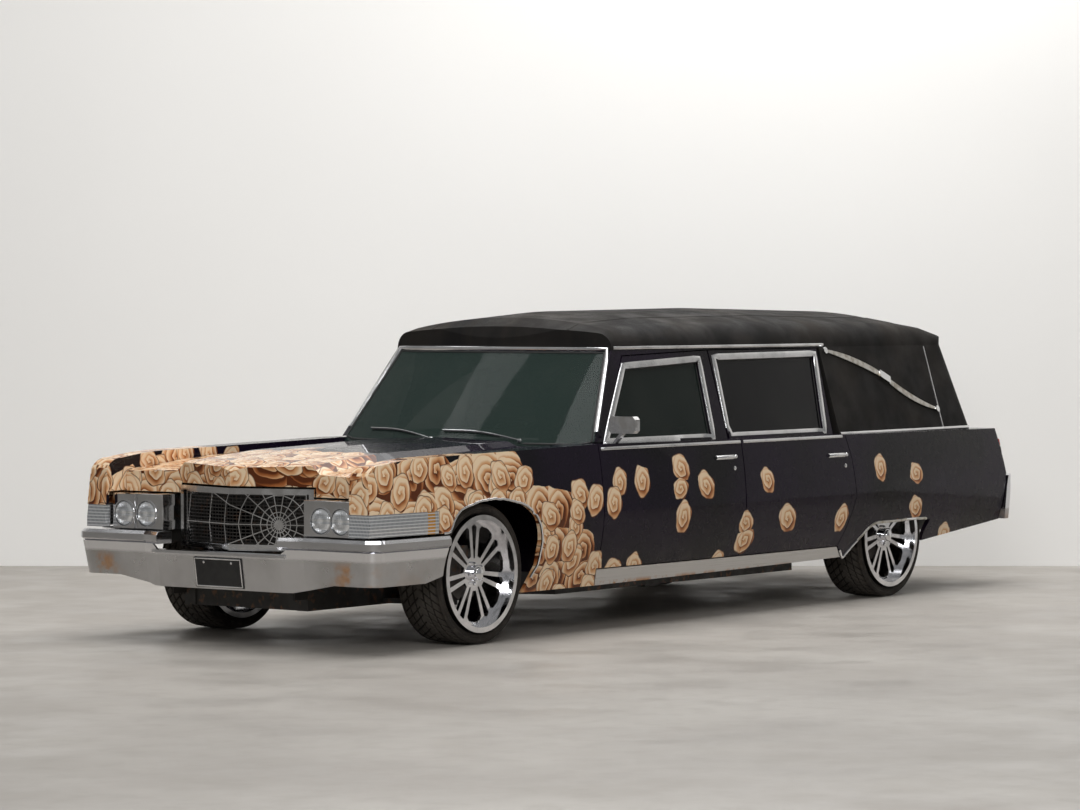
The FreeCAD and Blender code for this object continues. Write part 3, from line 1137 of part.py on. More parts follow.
# Tail: the body's end slopes out from the shoulder to the bumper
TAIL_LOW = TAIL
tail_line = [(TAIL_TOP, shoulder_at(TAIL_TOP)), (TAIL_LOW, 680), (TAIL_LOW - 18, 600), (TAIL_LOW - 48, 398)]
quarter_outline = [
    (DOOR_REAR + GAP - 75, shoulder_at(DOOR_REAR)), (DOOR_REAR + GAP - 28, 819), (DOOR_REAR + GAP, 610),
    (DOOR_REAR + GAP - 134, DOOR_BOTTOM, DOOR_REAR + GAP - 62, 470), (DOOR_REAR + GAP - 80, 262),
    (REAR - 540, 249), (REAR - 310, 407), (REAR - 194, 438, REAR - 255, 430), (REAR + 235, 441),
    (REAR + 416, 435), (REAR + 332, 309), (REAR + 676, 341)] + tail_line[::-1]
quarter_skin = cut_left(skin_shell, quarter_outline)
DOOR_HALF = 595.0
cap_half = DOOR_HALF + float(dim.rear_door_gap)
cap_line = tail_line + [(x - 22, z) for x, z in reversed(tail_line)]
tail_cap = cut_left(body_slab(0, 600), cap_line).common(block(REAR, 4000, -1200, -cap_half, 0, 2000))
wheel_space = Part.makeCylinder(float(dim.tyre_radius) + 12, 340, Vector(REAR, -937, WHEEL_Z), Y_AXIS)
quarter = fused([quarter_skin, shelf, tail_cap]).cut(wheel_space)
feature("quarter_panels", Part.makeCompound(both_sides(quarter)))

# Upper quarters: the closed rear of the greenhouse, with its rounded corners and the doorway
upper_zone = [(DOOR_REAR + 4, shoulder_at(DOOR_REAR)), (REAR + 1400, shoulder_at(REAR + 1400)),
              (REAR + 1400, ROOF_BASE), (DOOR_REAR + 4, ROOF_BASE)]
REAR_HEAD = 1425.0
DOOR_FOOT = 690.0
doorway = block(REAR + 700, 4000, -cap_half, cap_half, 0, REAR_HEAD + float(dim.rear_door_gap))
LINER_DEPTH = 60.0
LINER_START = DOOR_REAR - 100


def liner_wire(height, half_width, tail):
    """The closed rear's inside at a height, straight-sided and square-cornered."""
    start = half_width - LINER_DEPTH - bow_at(LINER_START)
    back = tail - LINER_DEPTH
    end = half_width - LINER_DEPTH - bow_at(back)
    return closed_wire([(LINER_START, start), (LINER_START, -start), (back, -end), (back, end)],
                       lambda x, y: Vector(x, y, height))


liner = Part.makeLoft([liner_wire(GLASS_BASE, float(base_half_width), REAR + float(dim.tail_base)),
                       liner_wire(ROOF_BASE, float(rail_half_width), RAIL_TAIL)], True, True)
upper = greenhouse(0).cut(liner).common(side_prism(upper_zone, -1200, 1200)).cut(doorway)
feature("upper_quarters", upper)

# ---------------------------------------------------------------------------
# Rear door: sloping window panel above, deep lower panel below, hinged on the left
# ---------------------------------------------------------------------------
rear_window_zone = block(REAR + 700, 4000, -430, 430, 1050, 1385)
upper_door = frame_shell.common(block(REAR + 700, 4000, -DOOR_HALF, DOOR_HALF, glass_depth + 930, REAR_HEAD))
upper_door = upper_door.cut(rear_window_zone)


def tail_x(z):
    """Outer face of the tail between the bumper and the shoulder."""
    return TAIL_LOW + (z - 680) * (TAIL_TOP - TAIL_LOW) / (shoulder_at(TAIL_TOP) - 680)


DOOR_SHELF = shoulder_at(TAIL_TOP)
lower_section = [(tail_x(DOOR_FOOT), DOOR_FOOT), (tail_x(DOOR_SHELF), DOOR_SHELF),
                 (GREENHOUSE_TAIL - 45, DOOR_SHELF), (GREENHOUSE_TAIL - 45, DOOR_SHELF - 40),
                 (tail_x(DOOR_SHELF) - 90, DOOR_SHELF - 40), (tail_x(DOOR_FOOT) - 80, DOOR_FOOT)]
lower_door = side_prism(lower_section, -DOOR_HALF, DOOR_HALF)
feature("rear_door", fused([upper_door, lower_door]))
feature("glass_rear_door", glass_shell.common(rear_window_zone))

sill = side_prism([(tail_x(DOOR_FOOT) - 80, DOOR_FOOT - GAP), (TAIL_LOW - 22, DOOR_FOOT - GAP), (TAIL_LOW - 22, 676),
                   (TAIL_LOW - 44, 600), (TAIL_LOW - 78, 470), (TAIL_LOW - 100, 470), (TAIL_LOW - 68, 600),
                   (tail_x(DOOR_FOOT) - 80, 640)], -cap_half, cap_half)
FLANGE_FOOT = DOOR_SHELF + 34
HEAD_RELIEF_FOOT = 1290.0
flange = inner_post_shell.common(block(REAR + 700, 4000, -cap_half, cap_half, FLANGE_FOOT, ROOF_BASE))
flange = flange.cut(block(REAR + 600, 4000, -DOOR_HALF + 60, DOOR_HALF - 60, 0, REAR_HEAD - 40))
hinge_relief = greenhouse(FRAME_DEPTH).cut(greenhouse(FRAME_DEPTH + 16))
swing_side = fused([block(REAR + 700, 4000, -cap_half - 1, -DOOR_HALF + 15, 0, ROOF_BASE),
                    block(REAR + 700, 4000, -cap_half - 1, -DOOR_HALF + 125, HEAD_RELIEF_FOOT, ROOF_BASE)])
hinge_relief = hinge_relief.common(swing_side)
feature("rear_frame", Part.makeCompound([sill, flange.cut(upper).cut(hinge_relief)]))

REAR_FACE = float(overall_length / 2)
rear_bar = [(TAIL_LOW + 8, 664), (REAR_FACE - 20, 672), (REAR_FACE - 20, 634, REAR_FACE, 653),
            (REAR_FACE - 28, 606), (REAR_FACE - 66, 400), (TAIL_LOW - 40, 400), (TAIL_LOW - 10, 600)]
REAR_BUMPER_HALF = HALF - 54
REAR_CORNER = 50.0
turned = REAR_CORNER * (1 - math.sqrt(0.5))
rear_plan = plan_prism([(REAR_FACE - 300, -REAR_BUMPER_HALF), (REAR_FACE - REAR_CORNER, -REAR_BUMPER_HALF),
                        (REAR_FACE, -REAR_BUMPER_HALF + REAR_CORNER, REAR_FACE - turned, -REAR_BUMPER_HALF + turned),
                        (REAR_FACE, REAR_BUMPER_HALF - REAR_CORNER),
                        (REAR_FACE - REAR_CORNER, REAR_BUMPER_HALF, REAR_FACE - turned, REAR_BUMPER_HALF - turned),
                        (REAR_FACE - 300, REAR_BUMPER_HALF)], 300, 700)
rear_bumper = side_prism(rear_bar, -1200, 1200).common(rear_plan)
iron = block(TAIL - 200 + SEAT, REAR_FACE - 90, -RAIL_REAR - RAIL_HALF, -RAIL_REAR + RAIL_HALF, 400, 440)
feature("rear_bumper", fused([rear_bumper] + both_sides(iron)))

TAIL_LAMP_INNER, TAIL_LAMP_OUTER = HALF - 148, HALF - 84
tail_lamp = side_prism([(tail_x(890), 890), (tail_x(890) + 14, 884), (tail_x(704) + 14, 708), (tail_x(700), 700)],
                       -TAIL_LAMP_OUTER, -TAIL_LAMP_INNER)
feature("tail_lamps", Part.makeCompound(both_sides(tail_lamp)))

# ---------------------------------------------------------------------------
# Landau bars, seat, dashboard, steering wheel
# ---------------------------------------------------------------------------


def blade_lobe(start, end, bulge, widths):
    """Half of the S: from one point to the next between two arcs, bowed to one side of the chord."""
    run_x, run_z = end[0] - start[0], end[1] - start[1]
    length = math.hypot(run_x, run_z)
    middle = ((start[0] + end[0]) / 2, (start[1] + end[1]) / 2)

    def beside(point, distance):
        return (point[0] - run_z / length * distance, point[1] + run_x / length * distance)

    first, mid, last = (width / 2 for width in widths)
    path = [beside(start, first), beside(end, last) + beside(middle, bulge + mid), beside(end, -last),
            beside(start, -first) + beside(middle, bulge - mid)]
    return side_prism(path, *LEFT_SIDE)


BAR_HEAD, BAR_KNUCKLE, BAR_FOOT = (REAR - 430, 1446), (REAR + 177, 1286), (REAR + 716, 1085)
BAR_PROUD, STUD_PROUD, STUD_RADIUS = 9.0, 17.0, 19.0
blades = fused([blade_lobe(BAR_HEAD, BAR_KNUCKLE, 16, (14, 34, 26)), blade_lobe(BAR_KNUCKLE, BAR_FOOT, -25, (26, 34, 12))])
studs = [Part.makeCylinder(STUD_RADIUS, 1200, Vector(x, -1200, z), Y_AXIS) for x, z in (BAR_HEAD, BAR_FOOT)]
studs.append(blade_lobe((REAR + 125, 1308), (REAR + 229, 1264), 0, (40, 42, 40)))
on_skin = greenhouse(-0.2)
blades = blades.common(greenhouse(-BAR_PROUD).cut(on_skin))
studs = Part.makeCompound(studs).common(greenhouse(-STUD_PROUD).cut(on_skin))
landau = fused([blades] + studs.Solids)
feature("landau_bars", Part.makeCompound(both_sides(landau)))

seat = new_body("front_seat", Vector(DOOR_SPLIT - 440, 0, FLOOR))
padded_bothways(seat, "bench", "XZ_Plane",
                [(-240, 60), (-240, 250), (200, 230), (290, 720), (390, 720), (330, 60)], 1360)
seat_legs = sketch_outline(seat, "seat_legs_outline", "XY_Plane", [(-180, -500), (280, -500), (280, 500), (-180, 500)])
legs_pad = seat.newObject("PartDesign::Pad", "seat_legs")
legs_pad.Profile = seat_legs
legs_pad.Length = 80
tunnel_space = sketch_outline(seat, "tunnel_space_outline", "YZ_Plane",
                              [(-TUNNEL - 35, -5), (TUNNEL + 35, -5), (TUNNEL + 35, 170), (-TUNNEL - 35, 170)])
tunnel_pocket = seat.newObject("PartDesign::Pocket", "tunnel_space")
tunnel_pocket.Profile = tunnel_space
tunnel_pocket.Midplane = True
tunnel_pocket.Type = "ThroughAll"

dash = new_body("dashboard", Vector(screen_foot + 60, 0, 800))
dash_half = FRAME_INNER - bow_at(screen_foot + 60 - 94) - SEAT
padded_bothways(dash, "dash_shell", "XZ_Plane",
                [(-94, -110), (70, -130), (96, 40), (60, 138), (-94, 138)], 2 * dash_half)

WHEEL_LEAN = 24.0
wheel_hub = Vector(DOOR_FRONT + 400, -360, 905)
column_axis = Rotation(Y_AXIS, -WHEEL_LEAN).multVec(X_AXIS)
COLUMN_START, COLUMN_END = 230.0, 30.0
column = Part.makeCylinder(26, COLUMN_START - COLUMN_END, wheel_hub - column_axis * COLUMN_START, column_axis)
doc.recompute()
feature("steering_column", column.cut(dash.Shape))
steering = new_body("steering_wheel", wheel_hub, Rotation(Y_AXIS, -WHEEL_LEAN))
revolved(steering, "wheel_ring", "XY_Plane", "H_Axis",
         [(-9, 175), (9, 175), (9, 194), (-9, 194)])
revolved(steering, "wheel_boss", "XY_Plane", "H_Axis",
         [(SEAT - COLUMN_END, 0), (16, 0), (16, 36), (SEAT - COLUMN_END, 24)])
hub_sketch = sketch_outline(steering, "wheel_spoke_outline", "YZ_Plane",
                            [(-174, -14), (-40, -34), (40, -34), (174, -14), (174, 14), (40, 34), (-40, 34), (-174, 14)])
spoke_pad = steering.newObject("PartDesign::Pad", "wheel_spokes")
spoke_pad.Profile = hub_sketch
spoke_pad.Midplane = True
spoke_pad.Length = 16

# ---------------------------------------------------------------------------
# Check every object, then write the pieces
# ---------------------------------------------------------------------------
doc.recompute()
for item in doc.Objects:
    if "Invalid" in item.State or "Error" in item.State:
        raise RuntimeError(f"{item.Name} did not build: {item.State}")
for name, item in pieces.items():
    if item.Shape.isNull() or not item.Shape.isValid() or item.Shape.Volume <= 0:
        raise RuntimeError(f"{name} has no valid solid")

os.makedirs("parts", exist_ok=True)
for name, item in pieces.items():
    item.Shape.exportStep(f"parts/{name}.step")
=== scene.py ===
# The dressed hearse: finishes, painted motif, trims, tread, the detail of lamps and cabin, stage and camera.
# Metres; front of the car at -X, its left side at -Y, floor at z = 0.
import math

import bmesh
import bpy
from mathutils import Matrix, Vector
from mathutils.bvhtree import BVHTree


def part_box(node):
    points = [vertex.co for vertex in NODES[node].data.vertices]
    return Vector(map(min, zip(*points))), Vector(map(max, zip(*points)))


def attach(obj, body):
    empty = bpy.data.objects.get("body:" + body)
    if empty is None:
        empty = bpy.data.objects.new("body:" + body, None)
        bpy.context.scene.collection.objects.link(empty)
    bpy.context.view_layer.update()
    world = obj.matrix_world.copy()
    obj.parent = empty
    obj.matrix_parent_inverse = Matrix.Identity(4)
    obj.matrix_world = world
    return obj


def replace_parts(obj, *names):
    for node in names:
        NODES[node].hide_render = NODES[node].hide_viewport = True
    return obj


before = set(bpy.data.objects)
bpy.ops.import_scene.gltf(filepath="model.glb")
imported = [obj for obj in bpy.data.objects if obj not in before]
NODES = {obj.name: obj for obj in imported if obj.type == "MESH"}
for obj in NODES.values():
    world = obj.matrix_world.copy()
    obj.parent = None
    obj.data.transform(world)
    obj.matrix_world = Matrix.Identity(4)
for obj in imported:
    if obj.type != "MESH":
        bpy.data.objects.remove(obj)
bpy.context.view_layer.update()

SIDES = {"left": -1, "right": 1}
X_AXIS = Vector((1, 0, 0))
Z_AXIS = Vector((0, 0, 1))


# ---------------------------------------------------------------- places read from the frame

def low(node):
    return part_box(node)[0]


def high(node):
    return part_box(node)[1]


def middle(node):
    return (low(node) + high(node)) / 2


def lamp_places():
    """The two lamps' distances from the middle, from the lens node's own extent."""
    ys = sorted(vertex.co.y for vertex in NODES["headlamp_lenses"].data.vertices if vertex.co.y > 0)
    lens_radius = (high("headlamp_lenses").z - low("headlamp_lenses").z) / 2
    return ys[0] + lens_radius, ys[-1] - lens_radius


FRONT_WHEEL = middle("tyre_front_left")
REAR_WHEEL = middle("tyre_rear_left")
TYRE_RADIUS = (high("tyre_front_left").z - low("tyre_front_left").z) / 2
TYRE_HALF = (high("tyre_front_left").y - low("tyre_front_left").y) / 2
BEAD = (high("rim_front_left").z - low("rim_front_left").z) / 2 + 0.0035
DOOR_REAR = high("door_rear_left").x
GLASS_FOOT = low("glass_front_left").z
VINYL_FOOT = low("upper_quarters").z
ROOF_FOOT = low("roof").z
LAMP_INNER, LAMP_OUTER = lamp_places()
LAMP_SPLIT = (LAMP_INNER + LAMP_OUTER) / 2
LAMP_HEIGHT = middle("headlamp_lenses").z


# ---------------------------------------------------------------- shader helpers

def acting(operation, swapped=False):
    """A Signal's method for one operation."""
    def act(self, other=0.0):
        first, second = (other, self) if swapped else (self, other)
        return self.finish.math(operation, first, second)
    return act


class Signal:
    """A shader value of a finish that adds, multiplies and compares as a number does."""

    __add__ = __radd__ = acting("ADD")
    __sub__ = acting("SUBTRACT")
    __rsub__ = acting("SUBTRACT", swapped=True)
    __mul__ = __rmul__ = acting("MULTIPLY")
    __truediv__ = acting("DIVIDE")
    __gt__ = acting("GREATER_THAN")
    __lt__ = acting("LESS_THAN")
    __abs__ = acting("ABSOLUTE")
    larger = acting("MAXIMUM")
    smaller = acting("MINIMUM")
    sine = acting("SINE")
    fraction = acting("FRACT")

    def __init__(self, finish, socket):
        self.finish = finish
        self.socket = socket


class Finish:
    """A node-based material in the making; 'place' is the object's own coordinates in metres."""

    def __init__(self, name, **sockets):
        self.material = bpy.data.materials.new(name)
        self.material.use_nodes = True
        self.nodes = self.material.node_tree.nodes
        self.links = self.material.node_tree.links
        self.surface = self.nodes["Principled BSDF"]
        coordinates = self.outputs("TexCoord", {})
        self.place = coordinates["Object"]
        self.facing = coordinates["Normal"]
        for socket, value in sockets.items():
            self.set(socket.replace("_", " "), value)

    def feed(self, socket, value):
        if isinstance(value, Signal):
            self.links.new(value.socket, socket)
        elif socket.type == "RGBA" and len(value) == 3:
            socket.default_value = (*value, 1)
        else:
            socket.default_value = value

    def set(self, socket, value):
        self.feed(self.surface.inputs[socket], value)

    def outputs(self, kind, feeds, **settings):
        """A new node's outputs, by number and by name."""
        made = self.nodes.new("ShaderNode" + kind)
        for key, value in settings.items():
            setattr(made, key, value)
        for key, value in feeds.items():
            self.feed(made.inputs[key], value)
        return {key: Signal(self, socket) for number, socket in enumerate(made.outputs)
                for key in (number, socket.name)}

    def math(self, operation, first, second=0.0):
        return self.outputs("Math", {0: first, 1: second}, operation=operation)[0]

    def vector(self, operation, first, second):
        return self.outputs("VectorMath", {0: first, 1: second}, operation=operation)["Vector"]

    def length(self, x, y):
        return self.outputs("VectorMath", {0: self.join(x, y)}, operation="LENGTH")["Value"]

    def ramp(self, value, start, end, low=0.0, high=1.0):
        """A smooth step from low at start to high at end."""
        return self.outputs("MapRange", {
            "Value": value, "From Min": start, "From Max": end, "To Min": low, "To Max": high,
        }, interpolation_type="SMOOTHSTEP")["Result"]

    def choose(self, factor, first, second):
        return self.outputs("Mix", {0: factor, 2: first, 3: second}, data_type="FLOAT")[0]

    def mix(self, factor, first, second):
        return self.outputs("Mix", {0: factor, 6: first, 7: second}, data_type="RGBA")[2]

    def split(self, vector):
        found = self.outputs("SeparateXYZ", {0: vector})
        return found[0], found[1], found[2]

    def join(self, x, y):
        return self.outputs("CombineXYZ", {0: x, 1: y})[0]

    def noise(self, scale, detail, stretch=None):
        place = self.outputs("Mapping", {"Vector": self.place, "Scale": stretch})[0] if stretch else self.place
        return self.outputs("TexNoise", {"Vector": place, "Scale": scale, "Detail": detail})["Fac"]

    def patches(self, scale, detail, start, end, low=0.0, high=1.0):
        """Noise as a smooth step, from low where it is under start to high where it is over end."""
        return self.ramp(self.noise(scale, detail), start, end, low, high)

    def cells(self, scale):
        return self.outputs("TexVoronoi", {"Vector": self.place, "Scale": scale})["Distance"]

    def dusty(self, color, dust, amount, scale):
        """Mixes dust over a colour: in patches, and more of it on what faces up."""
        up = self.ramp(self.split(self.facing)[2], 0.2, 1.0, 0.35, 1.0)
        return self.mix(up * self.patches(scale, 5.0, 0.42, 0.68) * amount, color, dust)

    def finished(self, color, roughness, *bump):
        """The material with this colour and roughness; a bump is a height, its distance and its strength."""
        self.set("Base Color", color)
        self.set("Roughness", roughness)
        if bump:
            feeds = dict(zip(("Height", "Distance", "Strength"), bump))
            self.set("Normal", self.outputs("Bump", feeds)["Normal"])
        return self.material


# ---------------------------------------------------------------- painted motif

CREAM = (0.90, 0.70, 0.48)
TAN = (0.70, 0.37, 0.17)
BURNT = (0.36, 0.115, 0.035)
OUTLINE = (0.11, 0.030, 0.010)
# one bloom's half-length and half-width, and the cells' size that holds one
BLOOM_LONG, BLOOM_WIDE, BLOOM_CELL = 0.098, 0.076, 0.205
# layers of blooms, the lowest first: shift of its cells, size of its blooms
BLOOM_LAYERS = ((0.0, 1.3), (3.37, 1.05), (7.91, 0.98))
# a layer of blooms larger than this fills the ground between the others
GROUND_SIZE = 1.2
# where the nose's front faces end, and how far out the painted skin begins below and above the shoulder
NOSE_END, FLANK, UPPER_FLANK, SHOULDER = -2.85, 0.80, 0.76, 0.74
# how far the right side's pattern is moved, so that it isn't the left's mirror image
FAR_SIDE = 7.3


def painted_plane(finish):
    """Flat coordinates on whichever way a panel faces, and whether it faces ahead or up."""
    x, y, z = finish.split(finish.place)
    across, _, up = finish.split(finish.facing)
    ahead = (across < -0.72) * (x < NOSE_END)
    above = up > 0.6
    far_side = (y > 0.0) * FAR_SIDE
    plane = finish.join(finish.choose(ahead, x, y), finish.choose(above, z + far_side, y))
    return plane, ahead, above, far_side


def outside(finish, ahead, above):
    """The skin that shows: the nose, what faces up, and the outer face of the sides."""
    _, y, z = finish.split(finish.place)
    shoulder = z > SHOULDER
    flank = abs(y) > finish.choose(shoulder, FLANK, UPPER_FLANK)
    return ahead.larger(flank).larger(above * shoulder)


def coverage(finish, centre, ahead, above, far_side):
    """How likely a bloom is where its middle lies: full round the nose, thinning out along the doors."""
    x, z, _ = finish.split(centre)
    crowd = finish.ramp(x, -1.52, -1.05, 1.0, 0.38) * finish.ramp(x, -0.9, 0.1, 1.0, 0.42)
    ceiling = finish.ramp(x, -2.5, -1.5, 0.945, 0.77) + finish.ramp(x, -1.3, -0.9, 0.0, 0.09)
    on_side = crowd * (z - far_side < ceiling) * (x < 2.9)
    on_top = finish.ramp(x, -2.55, -2.15, 1.0, 0.0)
    return finish.choose(above, on_side, on_top).larger(ahead)


def bloom_layer(finish, plane, marks, shift, grown):
    """One layer of swirled roses, a bloom to a cell: its colour and where it lies."""
    offset = (shift, shift * 0.7, 0.0)
    moved = finish.vector("ADD", plane, offset)
    feeds = {"Vector": moved, "Scale": 1.0 / BLOOM_CELL, "Randomness": 0.55}
    cell = finish.outputs("TexVoronoi", feeds, voronoi_dimensions="2D")
    local = finish.vector("SUBTRACT", moved, cell["Position"])
    seed, second_seed, third_seed = finish.split(cell["Color"])
    lean = {"Vector": local, "Angle": (second_seed - 0.5) * 2.4}
    beside, upward, _ = finish.split(finish.outputs("VectorRotate", lean, rotation_type="Z_AXIS")[0])
    size = finish.ramp(third_seed, 0.0, 1.0, 0.82, 1.0) * grown
    beside = beside / BLOOM_WIDE / size
    upward = upward / BLOOM_LONG / size
    radius = finish.length(beside, upward)
    angle = finish.math("ARCTAN2", upward, beside)
    wave = (angle * 5.0 + seed * 30.0).sine()
    petal = (radius * 2.3 + angle / math.tau + wave * 0.07).fraction()
    light_x, light_y, _ = finish.split(local)
    ground = grown > GROUND_SIZE
    tone = petal * 0.66 + (light_y * 3.6 + light_x * -2.4 + (-0.10 if ground else 0.16))
    color = finish.mix(finish.ramp(tone, -0.06, 0.12), OUTLINE, BURNT)
    color = finish.mix(finish.ramp(tone, 0.08, 0.36), color, TAN)
    color = finish.mix(finish.ramp(tone, 0.30, 0.70), color, CREAM)
    chance = coverage(finish, finish.vector("SUBTRACT", cell["Position"], offset), *marks)
    if ground:
        return color, chance > 0.8
    edge = wave * 0.05 + 0.95
    color = finish.mix(finish.ramp(edge - radius, 0.0, 0.10), OUTLINE, color)
    return color, (seed < chance) * (radius < edge)


def blooms(finish):
    """Airbrushed roses over one another: their colour and where they lie."""
    plane, *marks = painted_plane(finish)
    wobble = (finish.noise(14.0, 2.0) - 0.5) * 0.02
    plane = finish.vector("ADD", plane, finish.join(wobble, wobble))
    color, where = None, None
    for shift, grown in BLOOM_LAYERS:
        layer, lies = bloom_layer(finish, plane, marks, shift, grown)
        color = layer if color is None else finish.mix(lies, color, layer)
        where = lies if where is None else where.larger(lies)
    return color, where * outside(finish, *marks[:2])


# ---------------------------------------------------------------- finishes

def paint():
    """Gloss black with a purple cast, the painted motif, a clear coat and road dust low down."""
    made = Finish("gloss_paint", Coat_Weight=0.55, Coat_Roughness=0.02, Coat_IOR=1.42, Specular_IOR_Level=0.02)
    base = made.mix(made.patches(1.3, 2.0, 0.35, 0.65), (0.0035, 0.003, 0.004), (0.009, 0.0045, 0.014))
    motif, where = blooms(made)
    height = made.split(made.place)[2]
    splash = made.ramp(height, 0.46, 0.26) * made.patches(9.0, 6.0, 0.40, 0.75, 0.02, 0.20)
    return made.finished(made.mix(splash, made.mix(where, base, motif), (0.14, 0.115, 0.09)),
                         made.patches(14.0, 4.0, 0.3, 0.8, 0.22, 0.4), made.noise(5.0, 2.0), 0.0006, 1.0)


def vinyl():
    """Grained black roof vinyl, faded brown and dusty where the weather reaches it."""
    made = Finish("roof_vinyl", Specular_IOR_Level=0.14)
    base = made.mix(made.patches(2.2, 5.0, 0.35, 0.7), (0.010, 0.0095, 0.0095), (0.018, 0.016, 0.0145))
    streaks = made.ramp(made.noise(2.0, 4.0, (1.0, 5.0, 0.7)), 0.52, 0.78, 0.0, 0.35)
    base = made.mix(streaks, base, (0.036, 0.029, 0.022))
    return made.finished(made.dusty(base, (0.060, 0.049, 0.039), 0.3, 2.6),
                         made.patches(6.0, 4.0, 0.3, 0.7, 0.58, 0.82),
                         made.cells(420.0) + made.noise(7.0, 3.0) * 3.0, 0.0007, 0.7)


def bright(name, patches, light, dark, sheen, height, distance, strength):
    """A bright metal, greyed in patches: the greying, the roughness and the bump's noise come as their settings."""
    made = Finish(name, Metallic=1.0)
    return made.finished(made.mix(made.patches(*patches), light, dark), made.patches(*sheen),
                         made.noise(*height), distance, strength)


def bumper_chrome():
    """Bumper chrome: bright on the ridge, darker and satin below it, rust stains at the outer corners."""
    made = Finish("bumper_chrome")
    x, y, z = made.split(made.place)
    side = abs(y)
    ridge = low("front_bumper").z + 0.213
    # darker in colour and rougher below the ridge
    worn = made.ramp(z, ridge + 0.008, ridge - 0.012, 0.05, 0.9)
    base = made.mix(worn * made.patches(4.0, 6.0, 0.3, 0.8, 0.55, 1.0), (0.74, 0.74, 0.76), (0.36, 0.355, 0.35))
    corner = made.ramp(side, 0.62, 0.80) * made.ramp(side, 0.98, 0.90) * made.patches(7.0, 7.0, 0.47, 0.60)
    corner = corner * made.ramp(z, ridge + 0.01, ridge - 0.05, 0.0, 0.85)
    specks = made.ramp(z, ridge - 0.16, ridge - 0.21, 0.0, 0.5) * made.patches(40.0, 7.0, 0.52, 0.64)
    rust = corner.larger(specks)
    stain = made.mix(made.noise(45.0, 4.0), (0.34, 0.14, 0.045), (0.62, 0.36, 0.16))
    # the brackets behind the bumper are dark iron
    iron = (abs(x) < 3.06) * (side < 0.82)
    color = made.mix(iron, made.mix(rust, base, stain), (0.022, 0.019, 0.016))
    rust = rust.larger(iron)
    made.set("Metallic", 1.0 - rust * 0.8)
    return made.finished(color, made.patches(11.0, 5.0, 0.3, 0.75, 0.07, 0.16) + worn * 0.22 + rust * 0.4,
                         made.noise(70.0, 6.0), 0.0003, 0.4)


def brushed():
    """Satin steel with a grain along the car, rusty in specks and runs along its lower edge."""
    made = Finish("brushed_steel")
    grain = made.noise(60.0, 4.0, (0.03, 1.0, 4.0))
    base = made.mix(grain, (0.47, 0.46, 0.45), (0.68, 0.67, 0.66))
    foot = low("rockers").z
    zone = made.ramp(made.split(made.place)[2], foot + 0.03, foot, 0.0, 0.95)
    runs = made.ramp(made.noise(9.0, 6.0, (1.0, 1.0, 0.25)), 0.50, 0.62)
    rust = zone * made.patches(38.0, 7.0, 0.50, 0.66).larger(runs)
    tint = made.mix(made.noise(60.0, 3.0), (0.33, 0.13, 0.04), (0.62, 0.30, 0.10))
    made.set("Metallic", 1.0 - rust * 0.85)
    return made.finished(made.mix(rust, base, tint), made.ramp(grain, 0.2, 0.8, 0.26, 0.42) + rust * 0.3,
                         grain, 0.0002, 0.5)


def landau():
    """Aged satin metal on the carriage bars, bright where the studs stand proud."""
    made = Finish("landau_metal", Metallic=1.0)
    base = made.mix(made.patches(26.0, 6.0, 0.42, 0.68), (0.62, 0.60, 0.56), (0.38, 0.34, 0.28))
    x = made.split(made.place)[0]
    bar_start, bar_end = low("landau_bars").x, high("landau_bars").x
    from_knuckle = abs(x - (bar_start + (bar_end - bar_start) * 0.53))
    from_ends = (x - bar_start).smaller(bar_end - x)
    studs = made.ramp(from_knuckle, 0.062, 0.05).larger(made.ramp(from_ends, 0.044, 0.036))
    return made.finished(made.mix(studs, base, (0.84, 0.84, 0.84)), made.ramp(studs, 0.0, 1.0, 0.34, 0.1),
                         made.noise(60.0, 4.0), 0.0004, 0.4)


def rubber():
    """Dark tyre rubber, scuffed, with a dusty crown between grooves kept dark as painted shade."""
    made = Finish("tyre_rubber", Specular_IOR_Level=0.3)
    base = made.mix(made.noise(9.0, 5.0), (0.014, 0.012, 0.011), (0.038, 0.031, 0.025))
    base = made.mix(made.patches(26.0, 7.0, 0.54, 0.72, 0.0, 0.6), base, (0.070, 0.058, 0.046))
    x, _, z = made.split(made.place)
    radius = made.length(x - made.choose(x > 0.0, FRONT_WHEEL.x, REAR_WHEEL.x), z - FRONT_WHEEL.z)
    # the crown takes dust and the grooves below it stay dark: road dust on the crown, painted shade in the grooves
    crown = made.ramp(radius, TYRE_RADIUS - 0.0075, TYRE_RADIUS - 0.004)
    dust = made.patches(7.0, 5.0, 0.35, 0.65, 0.55, 1.0)
    return made.finished(made.mix(crown * dust, base, (0.085, 0.076, 0.066)),
                         made.patches(16.0, 4.0, 0.3, 0.7, 0.62, 0.9), made.noise(240.0, 5.0), 0.0006, 0.6)


def window(name, color, alpha):
    """Tinted glass with a faint film of dust."""
    made = Finish(name, Alpha=alpha, Specular_IOR_Level=0.14, Coat_Weight=0.12, Coat_Roughness=0.02)
    return made.finished(made.mix(made.patches(4.0, 5.0, 0.4, 0.8, 0.0, 0.05), color, (0.16, 0.16, 0.14)),
                         made.patches(10.0, 4.0, 0.4, 0.8, 0.015, 0.08))


